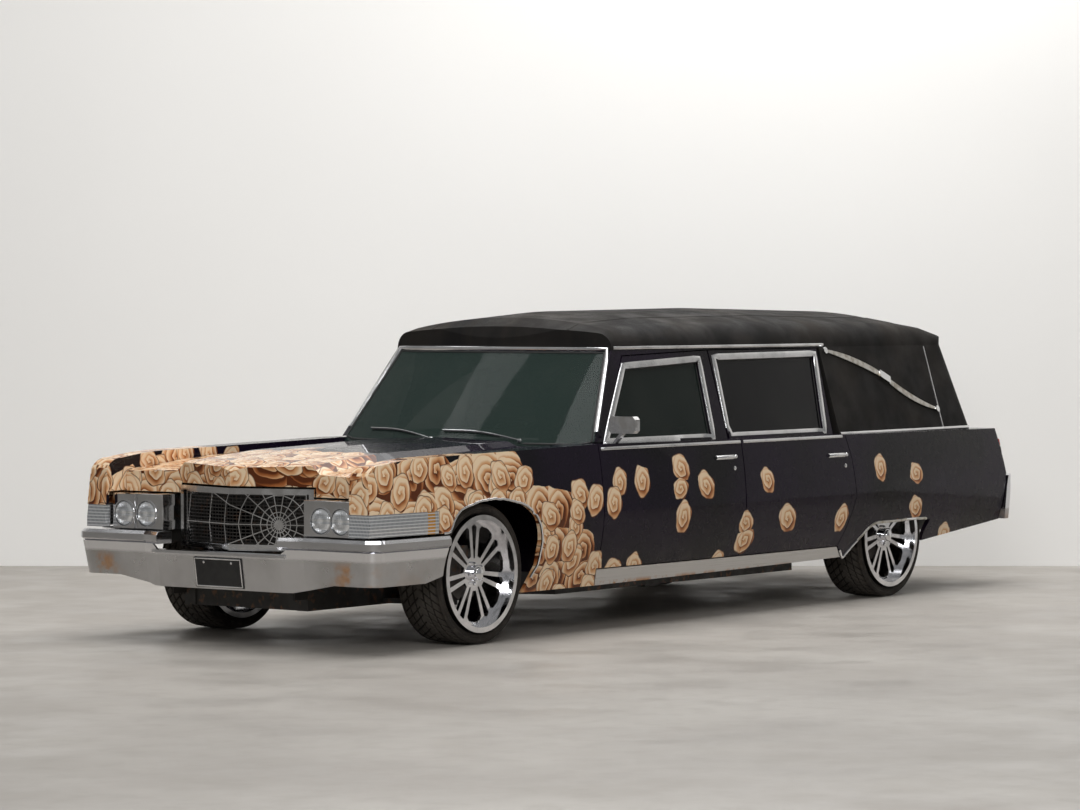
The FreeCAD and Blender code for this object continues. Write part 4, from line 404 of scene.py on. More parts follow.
def lens():
    """Round sealed lamps: fluted clear glass over a bright bowl, dark towards its rim."""
    made = Finish("lamp_lens", Metallic=0.75, Coat_Weight=1.0, Coat_Roughness=0.02)
    _, y, z = made.split(made.place)
    side = abs(y)
    away = made.length(side - made.choose(side > LAMP_SPLIT, LAMP_INNER, LAMP_OUTER), z - LAMP_HEIGHT)
    bowl = made.mix(made.ramp(away, 0.008, 0.024), (0.95, 0.96, 0.97), (0.55, 0.57, 0.59))
    bowl = made.mix(made.ramp(away, 0.032, 0.050), bowl, (0.88, 0.90, 0.92))
    return made.finished(made.mix(made.ramp(away, 0.055, 0.062), bowl, (0.20, 0.21, 0.22)),
                         made.patches(50.0, 3.0, 0.3, 0.7, 0.04, 0.12),
                         (y * 620.0).sine() + (z * 250.0).sine() * 0.7, 0.0009, 0.8)


def corner_lens():
    """Ribbed clear lamp glass behind seven level bright bars, with a narrow amber pane near its rear end."""
    made = Finish("corner_lens", Metallic=0.6, Coat_Weight=1.0, Coat_Roughness=0.03)
    x, y, z = made.split(made.place)
    foot = low("corner_lamps").z
    phase = ((z - foot) * (7.0 / (high("corner_lamps").z - foot))).fraction()
    bar = (phase > 0.30) * (phase < 0.62)
    ribs = ((x + y) * 700.0).sine()
    shade = made.ramp(ribs, -1.0, 1.0)
    end = high("corner_lamps").x
    pane = (x > end - 0.085) * (x < end - 0.028)
    glass = made.mix(pane, made.mix(shade, (0.20, 0.21, 0.22), (0.60, 0.62, 0.64)),
                     made.mix(shade, (0.45, 0.17, 0.02), (0.86, 0.45, 0.08)))
    return made.finished(made.mix(bar, glass, (0.80, 0.81, 0.82)), made.patches(50.0, 3.0, 0.3, 0.7, 0.06, 0.18),
                         ribs * 0.3 + bar * 2.5, 0.0012, 0.8)


def red_lens():
    made = Finish("red_lens", Coat_Weight=1.0, Coat_Roughness=0.04, Subsurface_Weight=0.1)
    return made.finished(made.mix(made.noise(12.0, 3.0), (0.36, 0.008, 0.010), (0.62, 0.03, 0.03)),
                         made.patches(40.0, 3.0, 0.3, 0.7, 0.08, 0.2),
                         (made.split(made.place)[2] * 700.0).sine(), 0.001, 0.7)


def grimy(name, dark, light, roughness, metallic, rust):
    """Bare or painted underbody metal with grime and some rust."""
    made = Finish(name, Metallic=metallic)
    base = made.mix(made.noise(7.0, 6.0), dark, light)
    return made.finished(made.mix(made.patches(24.0, 7.0, 0.55, 0.7, 0.0, rust), base, (0.17, 0.075, 0.03)),
                         made.patches(16.0, 5.0, 0.3, 0.7, roughness - 0.12, roughness + 0.12),
                         made.noise(120.0, 6.0), 0.0008, 0.5)


def plastic(name, dark, light, roughness):
    """Moulded plastic or rubber with a fine leather grain."""
    made = Finish(name)
    return made.finished(made.mix(made.noise(5.0, 4.0), dark, light),
                         made.patches(20.0, 4.0, 0.3, 0.7, roughness - 0.1, roughness + 0.1),
                         made.cells(600.0), 0.0004, 0.6)


def leather(name, dark, light):
    """Seat vinyl: grained, creased and worn lighter on what faces up."""
    made = Finish(name, Sheen_Weight=0.15)
    creases = made.patches(34.0, 8.0, 0.45, 0.62)
    return made.finished(made.dusty(made.mix(creases, dark, light), (0.14, 0.12, 0.10), 0.35, 8.0),
                         made.patches(12.0, 4.0, 0.3, 0.7, 0.42, 0.68),
                         made.cells(380.0) + creases * 1.4, 0.0008, 0.7)


def wood():
    """Varnished deck boards with a long grain and dark joints."""
    made = Finish("deck_wood", Coat_Weight=0.6, Coat_Roughness=0.1)
    grain = made.noise(22.0, 6.0, (0.12, 2.4, 2.4))
    base = made.mix(made.ramp(grain, 0.3, 0.7), (0.13, 0.055, 0.022), (0.33, 0.17, 0.075))
    joint = ((made.split(made.place)[1] + 1.0) * 9.0).fraction() > 0.975
    return made.finished(made.mix(joint, base, (0.02, 0.01, 0.005)), made.ramp(grain, 0.2, 0.8, 0.24, 0.42),
                         grain - joint * 4.0, 0.0006, 0.6)


FINISH = {
    "paint": paint(),
    "vinyl": vinyl(),
    "chrome": bright("chrome_plate", (6.0, 5.0, 0.4, 0.75), (0.80, 0.80, 0.81), (0.60, 0.60, 0.61),
                     (12.0, 6.0, 0.35, 0.75, 0.06, 0.26), (90.0, 4.0), 0.0002, 0.4),
    "bumper": bumper_chrome(),
    "brushed": brushed(),
    "landau": landau(),
    "polished": bright("polished_aluminium", (14.0, 5.0, 0.35, 0.75), (0.84, 0.84, 0.86), (0.62, 0.62, 0.64),
                       (30.0, 5.0, 0.3, 0.8, 0.07, 0.24), (160.0, 3.0, (1.0, 6.0, 1.0)), 0.00015, 0.5),
    "rubber": rubber(),
    "dark_glass": window("dark_glass", (0.004, 0.004, 0.005), 0.93),
    "door_glass": window("door_glass", (0.010, 0.016, 0.014), 0.74),
    "screen_glass": window("screen_glass", (0.030, 0.048, 0.042), 0.58),
    "lens": lens(),
    "corner_lens": corner_lens(),
    "red_lens": red_lens(),
    "chassis": grimy("chassis_black", (0.010, 0.010, 0.010), (0.032, 0.028, 0.024), 0.6, 0.0, 0.6),
    "casting": grimy("bare_casting", (0.075, 0.068, 0.062), (0.16, 0.145, 0.13), 0.62, 0.5, 0.75),
    "matte": plastic("matte_black", (0.008, 0.008, 0.008), (0.022, 0.021, 0.021), 0.6),
    "dark_metal": grimy("dark_metal", (0.030, 0.029, 0.028), (0.075, 0.070, 0.066), 0.42, 0.6, 0.3),
    "cabin": plastic("cabin_black", (0.014, 0.013, 0.013), (0.034, 0.032, 0.030), 0.5),
    "seat": leather("seat_vinyl", (0.022, 0.020, 0.019), (0.050, 0.045, 0.041)),
    "wood": wood(),
}

# finish: the CAD nodes that wear it
WEARS = {
    "paint": ("cowl", "door_front_left", "door_front_right", "door_rear_left", "door_rear_right", "front_fenders",
              "hood", "quarter_panels", "rear_door", "rear_frame", "side_frames"),
    "vinyl": ("roof", "upper_quarters"),
    "chrome": ("grille_frame", "grille_web", "headlamp_bezels", "mirror_left"),
    "bumper": ("front_bumper", "rear_bumper"),
    "brushed": ("rockers", "exhaust", "fuel_tank"),
    "landau": ("landau_bars",),
    "polished": ("rim_front_left", "rim_front_right", "rim_rear_left", "rim_rear_right"),
    "dark_glass": ("glass_rear_left", "glass_rear_right", "glass_rear_door"),
    "door_glass": ("glass_front_left", "glass_front_right"),
    "screen_glass": ("windscreen",),
    "lens": ("headlamp_lenses",),
    "corner_lens": ("corner_lamps",),
    "red_lens": ("tail_lamps",),
    "chassis": ("chassis_frame", "crossmembers", "drive_shaft", "floor_pan", "front_header", "front_suspension",
                "load_floor", "rear_springs", "wheelhouses"),
    "casting": ("engine", "knuckle_left", "knuckle_right", "rear_axle"),
    "matte": ("grille_mesh", "number_plate"),
    "cabin": ("dashboard", "steering_column", "steering_wheel"),
    "seat": ("front_seat",),
    "wood": ("casket_deck",),
    "rubber": ("tyre_front_left", "tyre_front_right", "tyre_rear_left", "tyre_rear_right"),
}


def dress_nodes():
    for finish, nodes in WEARS.items():
        for node in nodes:
            materials = NODES[node].data.materials
            materials.clear()
            materials.append(FINISH[finish])


# ---------------------------------------------------------------- rays and outlines

def ray_tree(*nodes):
    """The surfaces of these CAD nodes, for rays."""
    points = []
    faces = []
    for node in nodes:
        start = len(points)
        mesh = NODES[node].data
        points += [vertex.co.copy() for vertex in mesh.vertices]
        faces += [[start + index for index in face.vertices] for face in mesh.polygons]
    return BVHTree.FromPolygons(points, faces)


def touch(tree, start, direction):
    """Where a ray first meets the tree, and the normal there towards the ray's start; None if it misses."""
    place, normal, _, _ = tree.ray_cast(start, direction)
    if place is None:
        return None
    return place, -normal if normal.dot(direction) > 0 else normal


def cast(tree, starts, direction, axis=0, least=-9.0):
    """Where rays from these starts meet the tree, if at more than 'least' on this axis, and the normals there."""
    found = [touch(tree, start, direction) for start in starts]
    found = [(place, normal) for place, normal in filter(None, found) if place[axis] > least]
    return [place for place, _ in found], [normal for _, normal in found]


def from_side(tree, x, z, side):
    return touch(tree, Vector((x, side * 2.0, z)), Vector((0, -side, 0)))


def along_side(tree, route, side):
    """Places and normals where a side's (x, z) route lies on the tree."""
    return cast(tree, [Vector((x, side * 2.0, z)) for x, z in route], Vector((0, -side, 0)))


# how far apart the points of a strip lie
STRIP_STEP = 0.05


def lifted(path, normals, heights):
    return [point + normal * height for point, normal, height in zip(path, normals, heights)]


def level_route(start, end, height):
    parts = max(2, round((end - start) / STRIP_STEP))
    return [(start + (end - start) * step / parts, height) for step in range(parts + 1)]


def turn_of(a, b, c):
    return (b[0] - a[0]) * (c[1] - a[1]) - (b[1] - a[1]) * (c[0] - a[0])


def half_hull(ordered):
    kept = []
    for point in ordered:
        while len(kept) > 1 and turn_of(kept[-2], kept[-1], point) <= 0:
            kept.pop()
        kept.append(point)
    return kept[:-1]


def flat_hull(node, first, second, side=0, fuse=0.006):
    """A node's convex outline in two of its coordinates, anticlockwise, with points closer than 'fuse' joined."""
    flat = sorted({(round(vertex.co[first], 4), round(vertex.co[second], 4)) for vertex in NODES[node].data.vertices
                   if side == 0 or vertex.co.y * side > 0})
    kept = []
    for point in half_hull(flat) + half_hull(flat[::-1]):
        if not kept or (Vector(point) - Vector(kept[-1])).length > fuse:
            kept.append(point)
    return kept


def spread(outline, grown, spacing=STRIP_STEP):
    """A closed outline moved outward by 'grown' and divided evenly enough."""
    count = len(outline)
    moved = []
    for index in range(count):
        before, here, after = (Vector(outline[(index + step) % count]) for step in (-1, 0, 1))
        into = (here - before).normalized()
        away = (after - here).normalized()
        bisector = (Vector((into.y, -into.x)) + Vector((away.y, -away.x))).normalized()
        cosine = max(bisector.dot(Vector((into.y, -into.x))), 0.5)
        moved.append(here + bisector * grown / cosine)
    divided = []
    for index in range(count):
        start = moved[index]
        end = moved[(index + 1) % count]
        parts = max(1, round((end - start).length / spacing))
        divided += [start.lerp(end, step / parts) for step in range(parts)]
    return divided


# ---------------------------------------------------------------- mesh helpers

def add_rings(bm, rings, closed=False, capped=True):
    """Skins a list of equal rings of points."""
    made = [[bm.verts.new(point) for point in ring] for ring in rings]
    size = len(made[0])
    last = len(made) if closed else len(made) - 1
    for index in range(last):
        near = made[index]
        far = made[(index + 1) % len(made)]
        for step in range(size):
            after = (step + 1) % size
            bm.faces.new((near[step], near[after], far[after], far[step]))
    if capped and not closed:
        bm.faces.new(list(reversed(made[0])))
        bm.faces.new(made[-1])


def add_sweep(bm, path, normals, section, closed=False):
    """Carries a section of (across, out) points along a path that lies on a surface with these normals."""
    count = len(path)
    rings = []
    for index in range(count):
        before = path[(index - 1) % count] if closed or index else path[0]
        after = path[(index + 1) % count] if closed or index < count - 1 else path[-1]
        ahead = (after - before).normalized()
        out = (normals[index] - ahead * normals[index].dot(ahead)).normalized()
        across = ahead.cross(out)
        rings.append([path[index] + across * step + out * rise for step, rise in section])
    add_rings(bm, rings, closed)


def add_turned(bm, centre, axis, profile, steps, closed=False):
    """A turned piece, or a closed ring: profile points are (radius, distance along the axis)."""
    axis = axis.normalized()
    first = axis.orthogonal().normalized()
    second = axis.cross(first)
    spokes = [first * math.cos(math.tau * step / steps) + second * math.sin(math.tau * step / steps)
              for step in range(steps)]
    add_rings(bm, [[centre + axis * along + spoke * radius for spoke in spokes] for radius, along in profile],
              closed)


def half_round(width, height, sunk=0.002, steps=6):
    """A strip's section: flat underneath and rounded on top."""
    points = [(-width / 2, -sunk)]
    for step in range(steps + 1):
        turn = math.pi * step / steps
        points.append((-math.cos(turn) * width / 2, height * math.sin(turn) ** 0.7))
    points.append((width / 2, -sunk))
    return points


def round_section(radius, steps=8):
    return [(radius * math.cos(math.tau * step / steps), radius * math.sin(math.tau * step / steps))
            for step in range(steps)]


def bar_section(half_width, depth):
    return [(-half_width, -depth), (-half_width, 0.0), (half_width, 0.0), (half_width, -depth)]


def add_block(bm, centre, size, soft):
    """A block with rounded edges."""
    made = bmesh.new()
    bmesh.ops.create_cube(made, size=1.0)
    bmesh.ops.scale(made, vec=size, verts=made.verts)
    bmesh.ops.bevel(made, geom=made.edges[:], offset=soft, segments=2, affect="EDGES", profile=0.7)
    bmesh.ops.translate(made, vec=centre, verts=made.verts)
    spare = bpy.data.meshes.new("spare")
    made.to_mesh(spare)
    made.free()
    bm.from_mesh(spare)
    bpy.data.meshes.remove(spare)


def piece(name, bm, finish, body="hearse_body", sharp=35.0):
    """Makes an object of the mesh with its finish, shades it, and lets it ride on its body."""
    bmesh.ops.recalc_face_normals(bm, faces=bm.faces)
    mesh = bpy.data.meshes.new(name)
    bm.to_mesh(mesh)
    bm.free()
    mesh.materials.append(FINISH[finish])
    mesh.shade_smooth()
    mesh.set_sharp_from_angle(angle=math.radians(sharp))
    made = bpy.data.objects.new(name, mesh)
    bpy.context.scene.collection.objects.link(made)
    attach(made, body)
    return made


def door_body(place, side):
    return f"{'front' if place == 'front' else 'side'}_door_{side}"


# ---------------------------------------------------------------- tyres and wheels

TREAD_DEPTH = 0.009
SHOULDER_DEPTH = 0.004
TREAD_PERIODS = 46
TREAD_SKEW = 2.3
# rings of one period, as shares of it: a slanted slot lies from the second to the third
TREAD_COLUMNS = (0.0, 0.03, 0.24, 0.27, 0.64)
# half-widths of the middle rib, of the tread up to its shoulders, and of the tread with them
MIDDLE_RIB, TREAD_EDGE, SHOULDER_EDGE = 0.013, 0.108, 0.118
GROOVES = (0.030, 0.072)
GROOVE_HALF = 0.0045
GROOVE_WALL = 0.0015
# side-wall points: radius as a share of the way from bead to tread, half-width as a share of the tyre's
WALL = ((0.0, 0.86), (0.16, 0.93), (0.30, 0.985), (0.36, 0.985), (0.40, 0.965), (0.55, 0.975), (0.62, 0.985),
        (0.66, 0.985), (0.70, 0.968), (0.82, 0.955), (0.90, 0.93))


def tread_rows():
    """Tread rows across the tyre: (distance from the middle, whether it lies in a groove)."""
    rows = [(0.0, False), (0.014, False)]
    for groove in GROOVES:
        rows += [(groove - GROOVE_HALF - GROOVE_WALL, False), (groove - GROOVE_HALF, True),
                 (groove + GROOVE_HALF, True), (groove + GROOVE_HALF + GROOVE_WALL, False)]
    rows += [(0.090, False), (0.104, False), (0.114, False)]
    return [(-across, sunk) for across, sunk in reversed(rows[1:])] + rows


def tread_ring(base, in_slot):
    """One ring round the tyre's section at this turn: (turn, radius, across) points."""
    wall_turn = base + TREAD_SKEW * SHOULDER_EDGE
    ring = [(wall_turn, BEAD + share * (TYRE_RADIUS - BEAD), -half * TYRE_HALF) for share, half in WALL]
    for across, sunk in tread_rows():
        edge = abs(across) / TYRE_HALF
        radius = TYRE_RADIUS - 0.0005 - 0.012 * max(0.0, edge - 0.45) ** 2 / 0.3
        if sunk or (in_slot and abs(across) > MIDDLE_RIB):
            radius -= TREAD_DEPTH if abs(across) < TREAD_EDGE else SHOULDER_DEPTH
        ring.append((base + TREAD_SKEW * abs(across), radius, across))
    return ring + [(turn, radius, -across) for turn, radius, across in reversed(ring[:len(WALL)])]


def tyre(place, side):
    """A low tyre whose slanted grooves point the same way round on both halves of the tread."""
    node = f"tyre_{place}_{side}"
    centre = middle(node)
    bm = bmesh.new()
    rings = []
    for period in range(TREAD_PERIODS):
        for column in TREAD_COLUMNS:
            base = (period + column) / TREAD_PERIODS * math.tau
            rings.append([centre + Vector((radius * math.cos(turn), across, radius * math.sin(turn)))
                          for turn, radius, across in tread_ring(base, column in TREAD_COLUMNS[1:3])])
    add_rings(bm, rings, closed=True)
    made = piece(f"tread_{place}_{side}", bm, "rubber", f"wheel_{place}_{side}", 28.0)
    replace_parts(made, node)


def wheel_fittings(place, side):
    """Wheel nuts in their seats, a plain domed cap and a tyre valve."""
    rim = f"rim_{place}_{side}"
    out = Vector((0, SIDES[side], 0))
    tree = ray_tree(rim)
    bm = bmesh.new()
    start = Vector((middle(rim).x, 0, middle(rim).z)) + out * 2.0
    for step in range(5):
        turn = math.tau * (step + 0.5) / 5
        seat, _ = touch(tree, start + Vector((math.cos(turn), 0, math.sin(turn))) * 0.052, -out)
        add_turned(bm, seat, out, [(0.0115, -0.004), (0.0115, 0.014), (0.008, 0.021), (0.002, 0.023)], 6)
    hub, _ = touch(tree, start, -out)
    add_turned(bm, hub, out, [(0.033, -0.004), (0.033, 0.004), (0.029, 0.010), (0.016, 0.014), (0.002, 0.0155)], 32)
    valve, _ = touch(tree, start - Z_AXIS * (BEAD - 0.045), -out)
    add_turned(bm, valve, out + Z_AXIS * 0.5, [(0.004, -0.003), (0.004, 0.02), (0.005, 0.021), (0.005, 0.03)], 8)
    piece(f"wheel_fittings_{place}_{side}", bm, "chrome", f"wheel_{place}_{side}")


# ---------------------------------------------------------------- bright trims

def door_trims(place, side):
    """The bright window frame, the strip along the belt, and the dark rubber round the glass."""
    door = f"door_{place}_{side}"
    glass = f"glass_{place}_{side}"
    tree = ray_tree(door, glass)
    outline = flat_hull(glass, 0, 2)
    surround = [(x, max(z, GLASS_FOOT + 0.002)) for x, z in spread(outline, 0.020)]
    belt = level_route(low(door).x + 0.012, high(door).x - 0.008, GLASS_FOOT - 0.028)
    bm = bmesh.new()
    add_sweep(bm, *along_side(tree, surround, SIDES[side]), half_round(0.040, 0.007), True)
    add_sweep(bm, *along_side(tree, belt, SIDES[side]), half_round(0.018, 0.006))
    piece(f"window_frame_{place}_{side}", bm, "chrome", door_body(place, side))
    bm = bmesh.new()
    add_sweep(bm, *along_side(tree, spread(outline, -0.003), SIDES[side]), half_round(0.010, 0.004), True)
    piece(f"window_rubber_{place}_{side}", bm, "matte", door_body(place, side))


def body_trims():
    """Drip rails, the strip along the foot of the vinyl and the upright strip behind the carriage bars."""
    rails = bmesh.new()
    strips = bmesh.new()
    roof = ray_tree("roof")
    quarter = ray_tree("upper_quarters", "rear_frame")
    strip_x = high("landau_bars").x + 0.014
    rail = level_route(low("windscreen").x + 0.46, low("landau_bars").x + 0.02, ROOF_FOOT + 0.012)
    foot = level_route(DOOR_REAR + 0.012, high("upper_quarters").x - 0.02, VINYL_FOOT + 0.012)
    climb = [(strip_x, VINYL_FOOT + 0.02 + (ROOF_FOOT - VINYL_FOOT - 0.03) * step / 12) for step in range(13)]
    for side in SIDES.values():
        add_sweep(rails, *along_side(roof, rail, side), half_round(0.018, 0.008))
        add_sweep(strips, *along_side(quarter, foot, side), half_round(0.018, 0.007))
        add_sweep(strips, *along_side(quarter, climb, side), half_round(0.011, 0.004))
    piece("drip_rails", rails, "chrome")
    piece("quarter_strips", strips, "chrome")


def longest_run(found, jump=0.05):
    """The longest unbroken stretch of found places, with their normals."""
    runs = [[found[0]]]
    for before, after in zip(found, found[1:]):
        if (after[0] - before[0]).length > jump:
            runs.append([])
        runs[-1].append(after)
    run = max(runs, key=len)
    return [place for place, _ in run], [normal for _, normal in run]


# a panel's outer skin lies farther out than this, and a search for its edge goes on by such steps
SKIN, EDGE_STEP = 0.88, 0.003


def round_arch(tree, wheel, side, start=-6.0, end=186.0, steps=84):
    """A wheel opening's edge, found outward from the wheel's middle."""
    edge = []
    for step in range(steps + 1):
        turn = math.radians(start + (end - start) * step / steps)
        reach = TYRE_RADIUS * 0.9
        while reach < 0.62:
            found = from_side(tree, wheel.x + reach * math.cos(turn), wheel.z + reach * math.sin(turn), side)
            if found and abs(found[0].y) > SKIN:
                edge.append(found)
                break
            reach += EDGE_STEP
    return longest_run(edge)


def low_arch(tree, start, end, side, steps=70):
    """The lower edge of a panel over a wheel, found upward from the floor."""
    edge = []
    for step in range(steps + 1):
        x = start + (end - start) * step / steps
        height = low("quarter_panels").z + 0.002
        while height < 0.55:
            found = from_side(tree, x, height, side)
            if found and abs(found[0].y) > SKIN:
                edge.append(from_side(tree, x, height + 0.006, side) or found)
                break
            height += EDGE_STEP
    return longest_run(edge, 0.09)


def arch_trims():
    """Thin bright lips round the front wheel openings and a bronzed one along the low rear ones."""
    fender = ray_tree("front_fenders")
    quarter = ray_tree("quarter_panels")
    lips = bmesh.new()
    aged = bmesh.new()
    for side in SIDES.values():
        add_sweep(lips, *round_arch(fender, FRONT_WHEEL, side), half_round(0.012, 0.007))
        add_sweep(aged, *low_arch(quarter, REAR_WHEEL.x - 0.585, REAR_WHEEL.x + 0.405, side),
                  half_round(0.016, 0.008))
    piece("arch_trims", lips, "chrome")
    piece("rear_arch_trims", aged, "landau")


def screen_trims():
    """The bright surround of the windscreen and its rubber."""
    shell = ray_tree("roof", "upper_quarters", "side_frames", "cowl", "windscreen", "front_fenders",
                     "quarter_panels", "door_front_left", "door_front_right", "door_rear_left", "door_rear_right",
                     "hood", "glass_front_left", "glass_front_right", "glass_rear_left", "glass_rear_right")
    outline = flat_hull("windscreen", 1, 2, fuse=0.03)
    for name, grown, section, finish in (
        ("screen_surround", 0.004, half_round(0.026, 0.010), "chrome"),
        ("screen_rubber", -0.014, half_round(0.012, 0.004), "matte"),
    ):
        bm = bmesh.new()
        starts = [Vector((-4.0, y, z)) for y, z in spread(outline, grown)]
        add_sweep(bm, *cast(shell, starts, X_AXIS, 0, low("windscreen").x - 0.03), section, True)
        piece(name, bm, finish)


def wipers():
    """Two wiper arms with their blades, parked low on the windscreen."""
    arms = bmesh.new()
    blades = bmesh.new()
    tree = ray_tree("windscreen", "cowl")
    foot = low("windscreen").z
    for pivot, tip in ((-0.42, 0.10), (0.16, 0.64)):
        starts = [Vector((-4.0, pivot + (tip - pivot) * step / 8,
                          foot + 0.025 + 0.045 * math.sin(math.pi * min(1.0, step / 6) / 2))) for step in range(9)]
        path, normals = cast(tree, starts, X_AXIS)
        path = lifted(path, normals, [0.012] * 9)
        add_sweep(arms, path, normals, round_section(0.004, 6))
        add_turned(arms, path[0] - normals[0] * 0.014, normals[0], [(0.012, 0.0), (0.012, 0.012), (0.006, 0.02)], 14)
        add_sweep(blades, lifted(path[2:], normals[2:], [-0.008] * 7), normals[2:],
                  [(-0.004, 0.0), (0.004, 0.0), (0.001, -0.004), (-0.001, -0.004)])
    piece("wiper_arms", arms, "chrome")
    piece("wiper_blades", blades, "matte")


# where each door's handle starts, its height and its length
HANDLES = {"front": (-0.165, 0.876, 0.19), "rear": (0.99, 0.851, 0.19)}


def door_handle(place, side):
    """A slim pull bar on two feet, a push button behind it and a key lock below."""
    tree = ray_tree(f"door_{place}_{side}")
    start, height, length = HANDLES[place]
    bm = bmesh.new()
    path, normals = along_side(tree, [(start + length * step / 4, height) for step in range(5)], SIDES[side])
    add_sweep(bm, path, normals, half_round(0.026, 0.006))
    add_sweep(bm, lifted(path, normals, (0.005, 0.014, 0.0152, 0.014, 0.008)), normals,
              [(-0.009, -0.004), (-0.009, 0.003), (-0.004, 0.008), (0.004, 0.008), (0.009, 0.003), (0.009, -0.004)])
    add_turned(bm, path[-1] - X_AXIS * 0.012, normals[-1],
               [(0.011, 0.0), (0.011, 0.016), (0.008, 0.020), (0.001, 0.021)], 18)
    lock = from_side(tree, start + length - 0.015, height - 0.062, SIDES[side])
    add_turned(bm, *lock, [(0.012, -0.002), (0.012, 0.003), (0.008, 0.006), (0.001, 0.0065)], 18)
    piece(f"handle_{place}_{side}", bm, "chrome", door_body(place, side))


# ---------------------------------------------------------------- front end

LAMP_RADIUS = min((high("headlamp_lenses").z - low("headlamp_lenses").z) / 2, (LAMP_OUTER - LAMP_INNER) / 2 - 0.003)
# bezel cells of one side, from the grille outward: inner edge, lamp's middle, outer edge, face
LAMP_CELLS = (
    (high("grille_frame").y + 0.024, LAMP_INNER, LAMP_SPLIT, -3.048),
    (LAMP_SPLIT, LAMP_OUTER, high("headlamp_bezels").y - 0.002, -3.062),
)
CELL_LOW, CELL_HIGH = high("front_bumper").z + 0.003, high("headlamp_bezels").z - 0.003
# how far the bezel's square edge is rounded
CELL_SOFT = 0.003
# rings from the cell's back to the lamp's bowl: share of the lamp's radius (none: the cell's edge), depth
CELL_RINGS = ((None, 0.13), (None, 0.004), (None, 0.0), (1.05, 0.0), (1.04, -0.006), (0.98, -0.006), (0.95, 0.006),
              (0.90, 0.030))
LAMP_DOME = ((0.955, 0.006), (0.95, 0.002), (0.8, -0.002), (0.5, -0.006), (0.2, -0.008), (0.0, -0.008))


def edge_reach(turn, across, up):
    """How far a ray at this turn runs before it leaves a box of these two ranges."""
    reaches = [(most if part > 0 else least) / part
               for part, (least, most) in ((math.cos(turn), across), (math.sin(turn), up)) if abs(part) > 1e-6]
    return min(reaches)


def lamp_cell(bm, side, inner, middle_y, outer, face):
    """A bezel's face from its square edge to the round opening, with its raised ring and its outer walls."""
    across = (inner - middle_y, outer - middle_y)
    up = (CELL_LOW - LAMP_HEIGHT, CELL_HIGH - LAMP_HEIGHT)
    turns = sorted([math.tau * step / 48 for step in range(48)]
                   + [math.atan2(z, y) % math.tau for y in across for z in up])
    rings = []
    for share, depth in CELL_RINGS:
        ring = []
        for turn in turns:
            far = LAMP_RADIUS * share if share else edge_reach(turn, across, up) - (0.0 if depth else CELL_SOFT)
            ring.append(Vector((face + depth, side * (middle_y + math.cos(turn) * far),
                                LAMP_HEIGHT + math.sin(turn) * far)))
        rings.append(ring)
    add_rings(bm, rings, capped=False)


def lamp_units():
    """Bright bezels with a raised ring round each lamp, and the domed lamp glasses."""
    bezels = bmesh.new()
    glasses = bmesh.new()
    dome = [(max(LAMP_RADIUS * share, 0.001), depth) for share, depth in LAMP_DOME]
    for side in SIDES.values():
        for inner, middle_y, outer, face in LAMP_CELLS:
            lamp_cell(bezels, side, inner, middle_y, outer, face)
            add_turned(glasses, Vector((face, side * middle_y, LAMP_HEIGHT)), X_AXIS, dome, 40)
    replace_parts(piece("headlamp_units", bezels, "chrome"), "headlamp_bezels")
    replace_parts(piece("headlamp_glasses", glasses, "lens", sharp=60.0), "headlamp_lenses")


GRILLE_SLATS, GRILLE_BARS = 15, 34


def grille_bars():
    """A fine dark mesh behind the web: level slats in a shallow vee and upright bars."""
    lower = low("grille_mesh")
    upper = high("grille_mesh")
    reach = upper.y - 0.004

    def face(y):
        return lower.x + 0.012 + 0.105 * abs(y) / reach

    bm = bmesh.new()
    for step in range(GRILLE_SLATS):
        z = lower.z + 0.010 + (upper.z - lower.z - 0.020) * step / (GRILLE_SLATS - 1)
        path = [Vector((face(y), y, z)) for y in (-reach, -reach / 2, 0.0, reach / 2, reach)]
        add_sweep(bm, path, [-X_AXIS] * 5, bar_section(0.0028, 0.008))
    for step in range(GRILLE_BARS):
        y = -reach + 0.006 + (2 * reach - 0.012) * step / (GRILLE_BARS - 1)
        path = [Vector((face(y) + 0.003, y, z)) for z in (lower.z, (lower.z + upper.z) / 2, upper.z)]
        add_sweep(bm, path, [-X_AXIS] * 3, bar_section(0.0018, 0.004))
    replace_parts(piece("grille_bars", bm, "dark_metal"), "grille_mesh")


def plate_edge():
    """A bright edge and two screws on the blank plate, laid on its leaning face."""
    lower = low("number_plate") + Vector((0, 0.006, 0.006))
    upper = high("number_plate") - Vector((0, 0.006, 0.006))
    tree = ray_tree("number_plate")
    outline = [(lower.y, lower.z), (upper.y, lower.z), (upper.y, upper.z), (lower.y, upper.z)]
    bm = bmesh.new()
    starts = [Vector((-4.0, y, z)) for y, z in spread(outline, 0.0, 0.03)]
    add_sweep(bm, *cast(tree, starts, X_AXIS), half_round(0.008, 0.002, 0.001), True)
    for y in (-0.09, 0.09):
        screw = touch(tree, Vector((-4.0, y, upper.z - 0.018)), X_AXIS)
        add_turned(bm, *screw, [(0.007, -0.001), (0.007, 0.001), (0.005, 0.0022), (0.001, 0.0024)], 14)
    piece("plate_edge", bm, "chrome")


# ---------------------------------------------------------------- tail

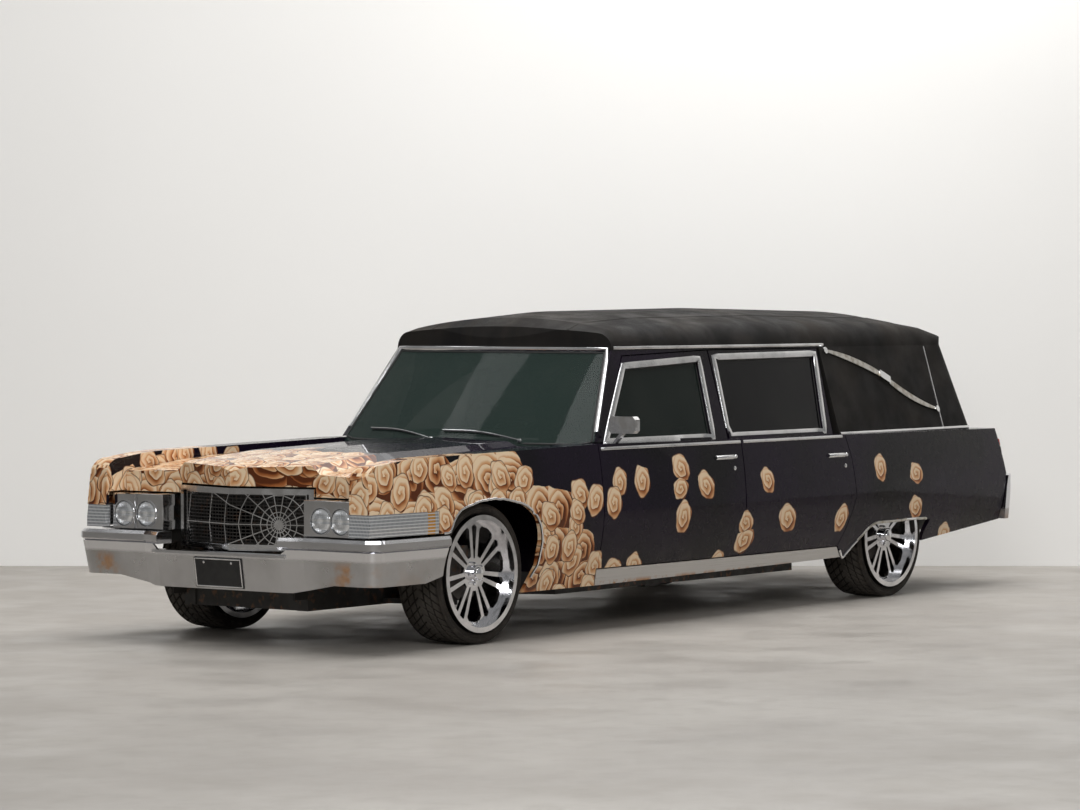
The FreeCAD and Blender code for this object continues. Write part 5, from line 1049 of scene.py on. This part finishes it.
def tail_trims():
    """Bright rims round the tail lamps, the loading door's handle and its window frame."""
    bm = bmesh.new()
    tree = ray_tree("tail_lamps", "quarter_panels")
    for side in SIDES.values():
        starts = [Vector((4.0, y, z)) for y, z in spread(flat_hull("tail_lamps", 1, 2, side), 0.004, 0.03)]
        path, _ = cast(tree, starts, -X_AXIS, 0, low("tail_lamps").x - 0.01)
        add_sweep(bm, path, [X_AXIS] * len(path), half_round(0.012, 0.005, 0.004), True)
    piece("tail_lamp_rims", bm, "chrome")

    bm = bmesh.new()
    door = ray_tree("rear_door", "glass_rear_door")
    handle_side = high("rear_door").y - 0.16
    path, normals = cast(door, [Vector((4.0, handle_side - 0.17 * step / 6, 0.92)) for step in range(7)], -X_AXIS)
    add_sweep(bm, path, normals, half_round(0.030, 0.006))
    add_sweep(bm, lifted(path, normals, (0.004, 0.018, 0.022, 0.022, 0.022, 0.018, 0.006)), normals,
              round_section(0.008))
    starts = [Vector((4.0, y, z)) for y, z in spread(flat_hull("glass_rear_door", 1, 2), 0.012)]
    add_sweep(bm, *cast(door, starts, -X_AXIS), half_round(0.022, 0.006), True)
    piece("loading_door_trims", bm, "chrome", "loading_door")


# ---------------------------------------------------------------- cabin

def square_round(value):
    return math.copysign(abs(value) ** 0.42, value)


def padded_form(name, centre, size, channels, lean):
    """A crowned cushion: a soft block whose top swells between sewn channels and whose sides pull in."""
    steps_y = channels * 8
    steps_around = 44
    bm = bmesh.new()
    half = Vector(size) / 2
    rings = []
    for step in range(steps_y + 1):
        v = step / steps_y * 2 - 1
        end = (1 - abs(v) ** 10) ** 0.25
        seam = abs(math.cos(math.pi * channels * (v + 1) / 2)) ** 14
        groove = 1 - 0.16 * seam if 0 < step < steps_y else 1.0
        drawn = 0.35 + 0.65 * end
        ring = []
        for around in range(steps_around):
            turn = math.tau * around / steps_around
            flat_x = square_round(math.cos(turn))
            flat_z = square_round(math.sin(turn))
            crown = 1 + 0.10 * (1 - flat_x * flat_x) * (1 if flat_z > 0 else 0)
            ring.append(Vector((flat_x * half.x * (0.9 + 0.1 * end) * drawn, v * half.y,
                                flat_z * half.z * crown * groove * (0.75 + 0.25 * end) * drawn)))
        rings.append(ring)
    add_rings(bm, rings)
    turn = Matrix.Rotation(math.radians(lean), 4, "Y")
    bmesh.ops.transform(bm, matrix=Matrix.Translation(centre) @ turn, verts=bm.verts)
    made = piece(name, bm, "seat", sharp=60.0)
    return made


def front_bench():
    """The bench's cushion and backrest, with sewn channels, on a dark base."""
    lower = low("front_seat")
    upper = high("front_seat")
    width = upper.y - lower.y - 0.03
    length = upper.x - lower.x
    cushion = padded_form("bench_cushion", Vector((lower.x + length * 0.47, 0, lower.z + 0.27)),
                          (length * 0.84, width, 0.15), 10, 4)
    back = padded_form("bench_back", Vector((upper.x - 0.13, 0, lower.z + 0.45)), (0.13, width, 0.50), 10, 12)
    bm = bmesh.new()
    add_block(bm, Vector((lower.x + length * 0.5, 0, lower.z + 0.10)), (length * 0.74, width * 0.8, 0.19), 0.02)
    base = piece("bench_base", bm, "cabin")
    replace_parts(cushion, "front_seat")
    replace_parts(back, "front_seat")
    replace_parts(base, "front_seat")


def dash_details():
    """A hooded cluster with round dials, a row of knobs, a glovebox lid and two vents."""
    face = Vector((high("dashboard").x, 0, high("dashboard").z))
    bm = bmesh.new()
    add_block(bm, face + Vector((0.008, -0.36, -0.075)), (0.03, 0.40, 0.11), 0.010)
    add_block(bm, face + Vector((0.004, 0.38, -0.10)), (0.014, 0.42, 0.13), 0.006)
    for y in (-0.68, 0.68):
        add_block(bm, face + Vector((0.004, y, -0.07)), (0.014, 0.13, 0.07), 0.006)
    piece("dash_panels", bm, "cabin")
    bm = bmesh.new()
    for y in (-0.46, -0.36, -0.26):
        add_turned(bm, face + Vector((0.023, y, -0.07)), X_AXIS,
                   [(0.034, -0.002), (0.034, 0.003), (0.039, 0.004), (0.040, -0.002)], 28, closed=True)
    for step in range(5):
        add_turned(bm, face + Vector((0, -0.08 + 0.045 * step, -0.09)), X_AXIS,
                   [(0.012, -0.002), (0.012, 0.014), (0.009, 0.018), (0.001, 0.019)], 14)
    piece("dash_brights", bm, "chrome")


def door_card(place, side):
    """The padded lining of a door with its armrest, pull and window crank."""
    door = f"door_{place}_{side}"
    tree = ray_tree(door)
    start = low(door).x + (0.20 if place == "front" else 0.10)
    end = high(door).x - (0.10 if place == "front" else 0.22)
    middle_x = (start + end) / 2
    length = end - start
    outward = Vector((0, SIDES[side], 0))
    skin, _ = cast(tree, [Vector((middle_x, 0, height)) for height in (0.60, 0.72)], outward)
    inner = min(abs(spot.y) for spot in skin)

    def inside(x, off, z):
        return Vector((x, 0, z)) + outward * (inner - off)

    bm = bmesh.new()
    add_block(bm, inside(middle_x, 0.004, 0.66), (length, 0.010, 0.44), 0.004)
    add_block(bm, inside(middle_x + 0.04, 0.030, 0.66), (length * 0.62, 0.050, 0.055), 0.018)
    piece(f"door_card_{place}_{side}", bm, "seat", door_body(place, side))
    bm = bmesh.new()
    hub = inside(middle_x - 0.16, 0.009, 0.56)
    add_turned(bm, hub, -outward, [(0.018, 0.0), (0.018, 0.008), (0.008, 0.016), (0.008, 0.022)], 16)
    arm = [hub - outward * 0.018 + Vector((0.02 * step, 0, -0.012 * step)) for step in range(5)]
    add_sweep(bm, arm, [-outward] * 5, half_round(0.014, 0.005))
    add_turned(bm, arm[-1], -outward, [(0.010, 0.0), (0.012, 0.012), (0.009, 0.026), (0.001, 0.028)], 12)
    rail = [inside(start + length * step / 8, 0.009, 0.84) for step in range(9)]
    add_sweep(bm, rail, [-outward] * 9, half_round(0.010, 0.003))
    piece(f"door_fittings_{place}_{side}", bm, "chrome", door_body(place, side))


def deck_fittings():
    """Bright skid strips along the casket deck and four stops."""
    lower = low("casket_deck")
    upper = high("casket_deck")
    bm = bmesh.new()
    for step in range(6):
        y = lower.y * 0.8 + (upper.y - lower.y) * 0.8 * step / 5
        path = [Vector((lower.x + 0.06 + (upper.x - lower.x - 0.12) * part / 10, y, upper.z)) for part in range(11)]
        add_sweep(bm, path, [Z_AXIS] * 11, half_round(0.018, 0.004, 0.001))
    for x in (lower.x + 0.30, upper.x - 0.30):
        for y in (-0.26, 0.26):
            add_turned(bm, Vector((x, y, upper.z)), Z_AXIS,
                       [(0.03, 0.0), (0.03, 0.006), (0.012, 0.010), (0.012, 0.06), (0.008, 0.064)], 16)
    piece("deck_strips", bm, "chrome")


def roof_seams():
    """Two stitched seams along the roof vinyl."""
    bm = bmesh.new()
    roof = ray_tree("roof")
    start, end = low("roof").x + 0.03, high("roof").x - 0.03
    for y in (-0.46, 0.46):
        starts = [Vector((start + (end - start) * step / 40, y, 3.0)) for step in range(41)]
        add_sweep(bm, *cast(roof, starts, -Z_AXIS, 2, ROOF_FOOT + 0.02), half_round(0.009, 0.0025))
    piece("roof_seams", bm, "vinyl")


# ---------------------------------------------------------------- stage, lights and camera

CAMERA_PLACE = Vector((-17.7145, -12.6892, 1.7191))
CAMERA_YAW = math.radians(36.318)
CAMERA_PITCH = math.radians(1.509)
CAMERA_LENS = 129.15
FLOOR_HALF, WALL_HALF, WALL_HEIGHT, WALL_DISTANCE = 60, 14, 9, 25.3
# the light that the wall gives off to the eye alone
WALL_GLOW = 0.16


def stage_plane(name, corners, material):
    mesh = bpy.data.meshes.new(name)
    mesh.from_pydata(corners, [], [range(4)])
    mesh.materials.append(material)
    made = bpy.data.objects.new(name, mesh)
    bpy.context.scene.collection.objects.link(made)


def floor_material():
    made = Finish("pale_floor", Specular_IOR_Level=0.35)
    base = made.mix(made.patches(0.7, 6.0, 0.35, 0.7), (0.42, 0.39, 0.355), (0.50, 0.47, 0.43))
    return made.finished(made.mix(made.patches(6.0, 8.0, 0.45, 0.7, 0.0, 0.35), base, (0.36, 0.33, 0.295)),
                         made.patches(2.0, 5.0, 0.3, 0.7, 0.34, 0.6), made.noise(40.0, 6.0), 0.001, 0.4)


def wall_material():
    """A pale wall with a front only, so that it hides nothing from a view behind it."""
    made = Finish("pale_wall")
    rays = made.outputs("LightPath", {})
    seen = rays["Is Camera Ray"].larger(rays["Is Glossy Ray"]).larger(rays["Is Transmission Ray"])
    made.set("Emission Color", (1.0, 0.985, 0.96))
    made.set("Emission Strength", seen * WALL_GLOW)
    one_sided = made.nodes.new("ShaderNodeMixShader")
    made.links.new(made.nodes.new("ShaderNodeNewGeometry").outputs["Backfacing"], one_sided.inputs[0])
    made.links.new(made.surface.outputs["BSDF"], one_sided.inputs[1])
    made.links.new(made.nodes.new("ShaderNodeBsdfTransparent").outputs["BSDF"], one_sided.inputs[2])
    made.links.new(one_sided.outputs["Shader"], made.nodes["Material Output"].inputs["Surface"])
    return made.finished(made.mix(made.noise(0.5, 5.0), (0.78, 0.77, 0.75), (0.84, 0.83, 0.81)), 0.8)


def area_light(name, place, target, width, height, power):
    data = bpy.data.lights.new(name, "AREA")
    data.shape = "RECTANGLE"
    data.size = width
    data.size_y = height
    data.energy = power
    made = bpy.data.objects.new(name, data)
    made.location = place
    made.rotation_euler = (Vector(target) - Vector(place)).to_track_quat("-Z", "Y").to_euler()
    bpy.context.scene.collection.objects.link(made)


def studio():
    """Floor, wall, world, three soft lamps and the camera."""
    scene = bpy.context.scene
    floor = [Vector((x, y, 0)) * FLOOR_HALF for x, y in ((-1, -1), (1, -1), (1, 1), (-1, 1))]
    stage_plane("floor", floor, floor_material())
    ahead = Vector((math.cos(CAMERA_YAW), math.sin(CAMERA_YAW), 0))
    foot = Vector((CAMERA_PLACE.x, CAMERA_PLACE.y, 0)) + ahead * WALL_DISTANCE
    beside = Vector((-ahead.y, ahead.x, 0)) * WALL_HALF
    top = Z_AXIS * WALL_HEIGHT
    stage_plane("wall", [foot + beside, foot - beside, foot - beside + top, foot + beside + top], wall_material())

    world = bpy.data.worlds.new("studio_world")
    world.use_nodes = True
    scene.world = world
    background = world.node_tree.nodes["Background"]
    background.inputs["Color"].default_value = (0.80, 0.80, 0.79, 1)
    background.inputs["Strength"].default_value = 0.32

    area_light("overhead", (0.0, -0.4, 6.0), (0.0, 0.0, 0.5), 10.0, 4.0, 400.0)
    area_light("front_left", (-9.0, -7.0, 4.6), (-1.0, 0.0, 0.6), 4.5, 2.5, 250.0)
    area_light("wall_wash", foot - ahead * 3.2 + Z_AXIS * 6.5, foot + Z_AXIS * 1.5, 14.0, 1.2, 90.0)

    data = bpy.data.cameras.new("camera")
    data.lens = CAMERA_LENS
    data.sensor_width = 36.0
    camera = bpy.data.objects.new("camera", data)
    view = ahead * math.cos(CAMERA_PITCH) - Z_AXIS * math.sin(CAMERA_PITCH)
    camera.location = CAMERA_PLACE
    camera.rotation_euler = view.to_track_quat("-Z", "Y").to_euler()
    scene.collection.objects.link(camera)
    scene.camera = camera
    scene.view_settings.view_transform = "Standard"


dress_nodes()
for end in ("front", "rear"):
    for hand in SIDES:
        tyre(end, hand)
        wheel_fittings(end, hand)
        door_trims(end, hand)
        door_handle(end, hand)
        door_card(end, hand)
body_trims()
arch_trims()
screen_trims()
wipers()
lamp_units()
grille_bars()
plate_edge()
tail_trims()
front_bench()
dash_details()
deck_fittings()
roof_seams()
studio()
